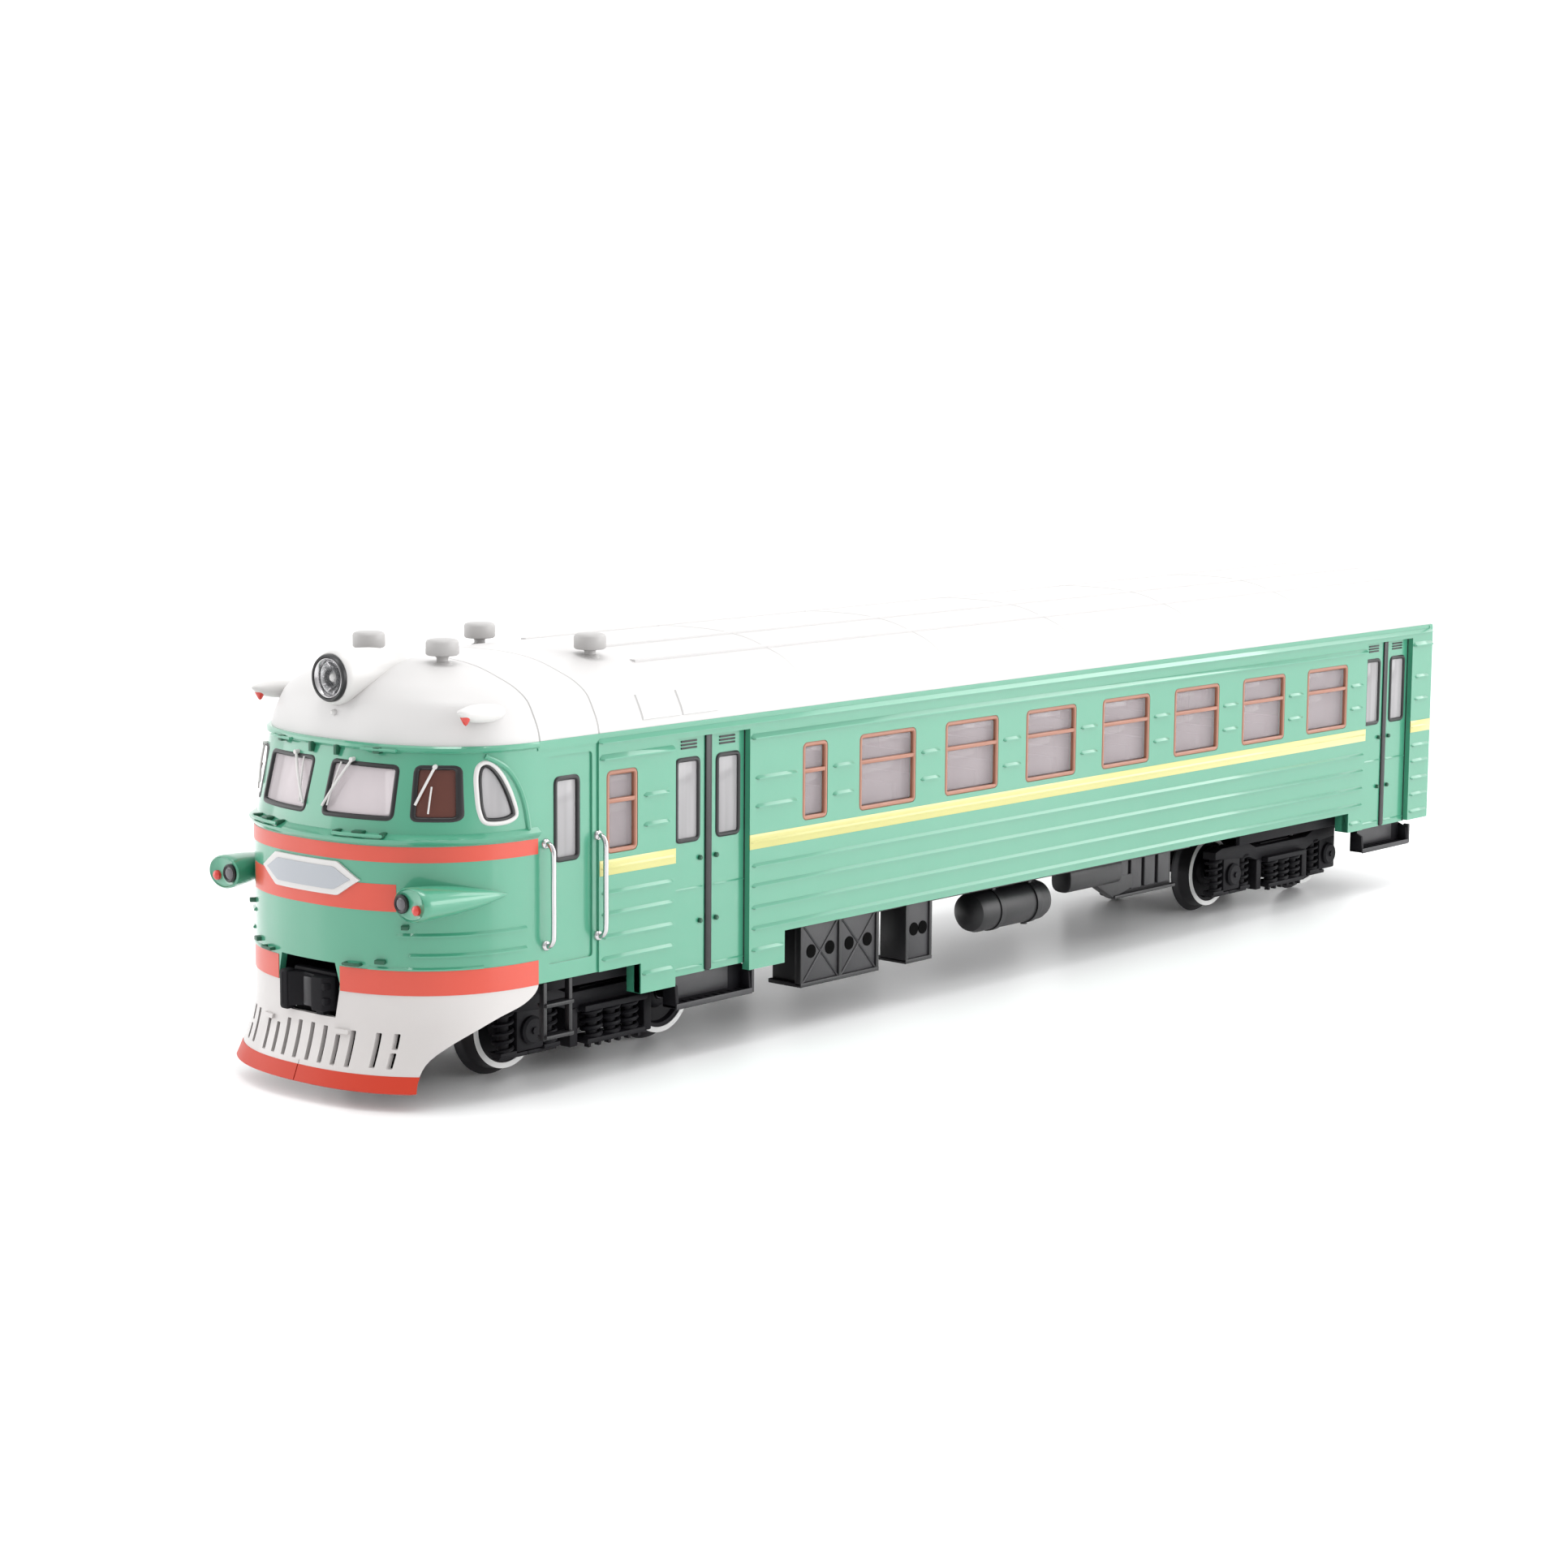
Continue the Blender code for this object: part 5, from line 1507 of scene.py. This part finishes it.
def coil(x, y, low_z, high_z, radius=1.15, wire=0.24, turns=4.5):
    steps = int(turns * 14)
    path = []
    for k in range(steps + 1):
        angle = 2 * math.pi * turns * k / steps
        z = low_z + (high_z - low_z) * k / steps
        path.append((x + radius * math.cos(angle), y + radius * math.sin(angle), z))
    return tube(path, wire, sides=6)


def beam_outline(reach_back):
    """(X, Z) outline of a side frame's beam. It stops at reach_back behind the pivot."""
    ahead = [(5.8, 6.4), (9.0, 7.6), (18.6, 8.2), (18.6, 9.4), (16.8, 9.9), (9.5, 9.9), (7.2, 9.0)]
    outline = ahead + [(max(-x, -reach_back), z) for x, z in reversed(ahead)]
    return [point for i, point in enumerate(outline) if point != outline[i - 1]]


def axle_gear(x, steps):
    """An axle box with its cap, coil springs and lower bar."""
    inner, outer = FRAME_Y
    cap = [
        (0, outer - 0.2), (1.75, outer - 0.2), (1.75, outer + 0.35), (1.45, outer + 0.6), (0, outer + 0.6)
    ]
    nut = [(0, outer + 0.5), (0.5, outer + 0.5), (0.45, outer + 0.85), (0, outer + 0.85)]
    parts = [
        box((x - 2.3, inner + 0.1, 3.0), (x + 2.3, outer - 0.1, 8.4), 0.3),
        lathe(cap, (x, 0, AXLE_Z), "Y", 32),
        lathe(nut, (x, 0, AXLE_Z), "Y", 6),
    ]
    for step in steps:
        spring_x = x + step * 3.7
        parts.append(box((spring_x - 1.4, inner + 0.3, 2.7), (spring_x + 1.4, outer, 3.3), 0.15))
        parts.append(coil(spring_x, 13.5, 3.3, 8.2))
        parts.append(rod(0.7, 3.2, 8.2, (spring_x, 13.5, 0)))
        parts.append(box((x, inner + 0.5, 2.3), (x + step * 4.9, outer - 0.5, 2.85), 0.15))
    return parts


def bogie_side(middle_x, reach_back):
    """One side frame with axle boxes, coil springs, brake hangers and a bolster spring set."""
    inner, outer = FRAME_Y
    beam = [(middle_x + x, z) for x, z in beam_outline(reach_back)]
    parts = [soften(prism(beam, inner, outer), 0.15)]
    parts += axle_gear(middle_x + WHEELBASE / 2, (1, -1))
    if reach_back > WHEELBASE / 2:
        parts += axle_gear(middle_x - WHEELBASE / 2, (1,))
    for brake_x in (middle_x - 6.6, middle_x + 6.6):
        parts.append(box((brake_x - 0.7, inner, 2.2), (brake_x + 0.7, outer + 0.2, 7.0), 0.2))
    for x in (-3.2, 0.0, 3.2):
        parts.append(coil(middle_x + x, 14.4, 3.1, 6.6, 1.2, 0.3, 3.5))
        parts.append(rod(0.75, 3.1, 6.8, (middle_x + x, 14.4, 0)))
    parts.append(box((middle_x - 5.2, inner + 0.2, 2.4), (middle_x + 5.2, 15.8, 3.1), 0.2))
    parts.append(box((middle_x - 5.6, inner + 0.2, 6.5), (middle_x + 5.6, 15.8, 7.3), 0.2))
    for k in range(6):
        x = middle_x - 4.4 + 1.76 * k
        parts.append(box((x - 0.25, 14.6, 1.9), (x + 0.25, 15.4, 2.5), 0.08))
    return join(parts)


def make_bogies():
    for end, middle_x in BOGIE_X.items():
        sides = mirrored(bogie_side(middle_x, FRAME_REACH_BACK[end]))
        bolster = box((middle_x - 4.2, -13.4, 7.2), (middle_x + 4.2, 13.4, 9.2), 0.3)
        pivot = [(0, 7.4), (4.2, 7.4), (4.2, 12.6), (3.9, 13.1), (0, 13.1)]
        centre = lathe(pivot, (middle_x, 0, 0), "Z", 48)
        low_x, high_x = middle_x - 4.6, middle_x + 4.6
        ribs = [box((low_x, y - 0.3, 6.6), (high_x, y + 0.3, 9.0)) for y in (-8.5, -5.0, 5.0, 8.5)]
        rods = [tube([(x, -12.8, 3.6), (x, 12.8, 3.6)], 0.45) for x in (middle_x - 6.6, middle_x + 6.6)]
        core = box((middle_x - 6.7, -11.4, 3.3), (middle_x + 6.7, 11.4, 9.0), 0.3)
        frame_mesh = join([sides, bolster, centre, core, *ribs, *rods])
        # The trucks take the dull black, darkened as painted shade for the hollow between the wheels.
        add_piece(f"{end}_truck", frame_mesh, DULL, f"{end}_bogie", stands_for=[f"{end}_bogie_frame"])


def make_wheels():
    back, width = 7.2, 3.0
    face = back + width
    tyre = [
        (4.75, back + 0.1), (5.2, back), (6.15, back + 0.08), (6.42, back + 0.25), (6.5, back + 0.42),
        (6.38, back + 0.62), (5.75, back + 0.85), (5.58, back + 1.1), (5.45, face - 0.25),
        (5.36, face - 0.02), (4.75, face),
    ]
    disc = [
        (1.1, back + 0.1), (4.76, back + 0.1), (4.76, face - 0.1), (4.2, face - 0.15), (3.95, face - 0.7),
        (2.3, face - 0.85), (2.0, face - 0.3), (1.7, face - 0.12), (1.1, face - 0.12),
    ]
    ring = [(4.7, face - 0.05), (5.38, face - 0.08), (5.38, face + 0.06), (4.7, face + 0.08)]
    axles = [middle_x + shift for middle_x in BOGIE_X.values() for shift in (WHEELBASE / 2, -WHEELBASE / 2)]
    for number, axle_x in enumerate(axles, 1):
        for side, sign in SIDES:
            parts = [
                (lathe(profile, (axle_x, 0, AXLE_Z), "Y", 64, (1, sign, 1)), index)
                for index, profile in enumerate((tyre, disc, ring))
            ]
            name = f"wheel_{number}_{side}"
            add_piece(
                f"{name}_tyre", outward(join(parts)), [TREAD, DULL, RING], f"wheelset_{number}",
                stands_for=[name], crease=40,
            )


# ---------------------------------------------------------------- couplers and gangway


def make_couplers():
    head = [
        (109.6, -3.5), (112.0, -3.9), (112.9, -3.3), (112.3, -2.3), (111.0, -1.2),
        (111.3, 0.9), (112.5, 1.7), (112.2, 3.3), (110.6, 3.9), (109.6, 3.6),
    ]
    parts = [
        soften(prism(rounded(head, 0.3, 3), 9.7, 13.8, "Z"), 0.2, 50),
        box((109.2, -3.8, 9.4), (110.4, 3.8, 14.2), 0.3),
        box((111.0, -3.9, 9.2), (112.7, -2.4, 14.1), 0.45),
        box((101.5, -1.3, 10.7), (109.6, 1.3, 12.7), 0.2),
        lathe([(1.5, 10.6), (2.8, 10.6), (2.8, 12.8), (1.5, 12.8)], (COUPLER_PINS[0][0], 0, 0)),
        box((110.2, 1.2, 8.9), (111.4, 2.6, 10.0), 0.2),
        box((110.2, 2.2, 10.4), (112.2, 3.7, 11.4), 0.25),
        box((110.2, 2.2, 12.2), (112.2, 3.7, 13.2), 0.25),
    ]
    add_piece("front_knuckle", join(parts), DULL, "front_coupler_body", stands_for=["front_coupler"])
    # The knuckle's front face is in a grey lighter than the black: painted light.
    face = box((110.7, -0.7, 9.9), (111.7, 0.8, 13.5), 0.25)
    add_piece("front_knuckle_face", face, GREY, "front_coupler_body")
    hook = [
        (-117.5, -2.0), (-116.6, -3.8), (-114.3, -3.8), (-114.3, 3.8),
        (-116.4, 3.8), (-117.5, 2.4), (-115.9, 1.0), (-115.9, -1.4),
    ]
    parts = [
        soften(prism(hook, 5.6, 9.2, "Z"), 0.2, 50),
        box((-115.2, -1.3, 6.5), (-105.6, 1.3, 8.7), 0.2),
        lathe([(1.5, 6.4), (2.8, 6.4), (2.8, 8.8), (1.5, 8.8)], (COUPLER_PINS[1][0], 0, 0)),
    ]
    add_piece("rear_hook", outward(join(parts)), BLACK, "rear_coupler_body", stands_for=["rear_coupler"])


def make_gangway():
    """Bellows in folds round the doorway, and a plain door behind them."""
    parts = []
    inner = rounded(rectangle(-6.1, 6.1, 14.9, 37.0), 1.2, 6)
    for k in range(5):
        grow = 0.5 if k % 2 else 0.0
        front = REAR_X - 0.3 - 0.52 * k
        back = front - 0.5
        outer = rounded(rectangle(-8.0 - grow, 8.0 + grow, 13.4, 38.6 + grow), 1.8, 6)
        stations = ((front, outer), (back, outer), (back, inner), (front, inner))
        rings = [[(x, y, z) for y, z in outline] for x, outline in stations]
        parts.append(loft(rings, capped=False, wrap_rings=True))
    add_piece("bellows", join(parts), RUBBER_AND_SHADOW, stands_for=["gangway_bellows"])
    door = box((REAR_X - 0.25, -5.6, 15.2), (REAR_X + 0.1, 5.6, 36.4), 0.1)
    add_piece("end_door", door, GREEN)
    window = rounded(rectangle(-2.6, 2.6, 27.0, 34.0), 0.7, 5)
    rim = tube([(REAR_X - 0.25, y, z) for y, z in window], 0.3, closed=True)
    pane = prism(window, REAR_X - 0.35, REAR_X - 0.2, "X")
    add_piece("end_door_rubber", rim, RUBBER_AND_SHADOW)
    add_piece("end_door_pane", pane, LILAC)


# ---------------------------------------------------------------- interior and CAD nodes that stay


def refinish(node, finish):
    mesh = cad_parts[node].data
    mesh.materials.clear()
    mesh.materials.append(finish)


def make_interior():
    for node in ("ballast_weight", "front_pivot_screw", "rear_pivot_screw"):
        refinish(node, STEEL_BRIGHT)
    for node in ("seat_moulding", "cab_interior"):
        refinish(node, LILAC)
    refinish("lighting_board", BOARD)
    for number in range(1, 5):
        refinish(f"axle_{number}", STEEL)
    back = box((82.0, -15.5, 16.5), (82.6, 12.0, 40.2), 0.1)
    add_piece("cab_back_wall", back, LILAC)
    section = [(-4.6, 31.8), (-1.9, 31.8), (-1.9, 40.2), (-4.6, 40.2)]
    inner, outer = angle_at_y(12.4), angle_at_y(18.3)
    cupboards = [nose_strip(section, sign * inner, sign * outer, 14) for sign in (1, -1)]
    add_piece("cab_cupboards", join(cupboards), BROWN)


# ---------------------------------------------------------------- floor, light and camera


def make_floor():
    finish = finish_of("floor", (0.96, 0.96, 0.965), 0.32, tone=0.004, grain=0.02, bump=0.0, size=30)
    bm = bmesh.new()
    bmesh.ops.create_grid(bm, x_segments=1, y_segments=1, size=4.0)
    mesh = bpy.data.meshes.new("floor")
    bm.to_mesh(mesh)
    bm.free()
    mesh.materials.append(finish)
    floor = bpy.data.objects.new("floor", mesh)
    bpy.context.collection.objects.link(floor)


def make_studio():
    """An even white studio, dimmer where the photographed side looks, and four soft boxes."""
    world = bpy.data.worlds.new("studio")
    world.use_nodes = True
    nodes, links = world.node_tree.nodes, world.node_tree.links
    background = nodes["Background"]
    background.inputs["Color"].default_value = (1.0, 1.0, 1.0, 1.0)
    around = nodes.new("ShaderNodeTexCoord").outputs["Generated"]
    facing = nodes.new("ShaderNodeVectorMath")
    facing.operation = "DOT_PRODUCT"
    facing.inputs[1].default_value = KEY_DIRECTION
    links.new(around, facing.inputs[0])
    dimmer = nodes.new("ShaderNodeMapRange")
    for name, value in (("From Min", 0.5), ("From Max", 1.0), ("To Min", 1.33), ("To Max", 0.65)):
        dimmer.inputs[name].default_value = value
    links.new(facing.outputs["Value"], dimmer.inputs["Value"])
    links.new(dimmer.outputs["Result"], background.inputs["Strength"])
    bpy.context.scene.world = world
    add_softbox("side", (-0.5, 0.85, 0.30), (0, 0, 0.03), (0.9, 0.5), 5.0)
    add_softbox("front", (0.6, -0.85, 0.30), (0.1, 0, 0.03), (0.7, 0.5), 1.8)
    add_softbox("top", (0.1, 0.05, 1.1), (0.05, 0, 0.03), (0.5, 0.35), 3.0)
    add_softbox("rear", (-0.95, 0.25, 0.8), (0, 0, 0.03), (0.9, 0.6), 4.0)
    bpy.context.scene.view_settings.view_transform = "Standard"


def add_softbox(name, place, target, size, power):
    light = bpy.data.lights.new(name, "AREA")
    light.shape = "RECTANGLE"
    light.size, light.size_y = size
    light.energy = power
    obj = bpy.data.objects.new(name, light)
    obj.location = place
    aim = Vector(target) - Vector(place)
    obj.rotation_euler = aim.to_track_quat("-Z", "Y").to_euler()
    bpy.context.collection.objects.link(obj)


def make_camera():
    """The photograph's view: a long lens in front of the cab end, to the vehicle's left."""
    yaw, pitch, roll = (math.radians(a) for a in (CAMERA_YAW, CAMERA_PITCH, CAMERA_ROLL))
    forward = Vector((math.cos(yaw) * math.cos(pitch), math.sin(yaw) * math.cos(pitch), math.sin(pitch)))
    level = forward.cross(Vector((0, 0, 1))).normalized()
    upright = level.cross(forward)
    right = level * math.cos(roll) + upright * math.sin(roll)
    up = upright * math.cos(roll) - level * math.sin(roll)
    camera = bpy.data.cameras.new("camera")
    camera.lens = CAMERA_LENS
    camera.sensor_width = 36.0
    camera.clip_start = 0.01
    obj = bpy.data.objects.new("camera", camera)
    turn = Matrix((right, up, -forward)).transposed()
    obj.matrix_world = Matrix.Translation(CAMERA_PLACE) @ turn.to_4x4()
    bpy.context.collection.objects.link(obj)
    bpy.context.scene.camera = obj


def main():
    make_coach_body()
    make_door_fittings()
    make_window_frames()
    make_glazing()
    make_nose()
    make_nose_fittings()
    make_roof()
    make_roof_vents()
    make_headlight()
    make_marker_lamps()
    make_buffer_lamps()
    make_skirt()
    make_handrails()
    make_wipers()
    make_ladders()
    make_chassis()
    make_coupler_pocket()
    make_underframe()
    make_bogies()
    make_wheels()
    make_couplers()
    make_gangway()
    make_interior()
    make_floor()
    make_studio()
    make_camera()


main()
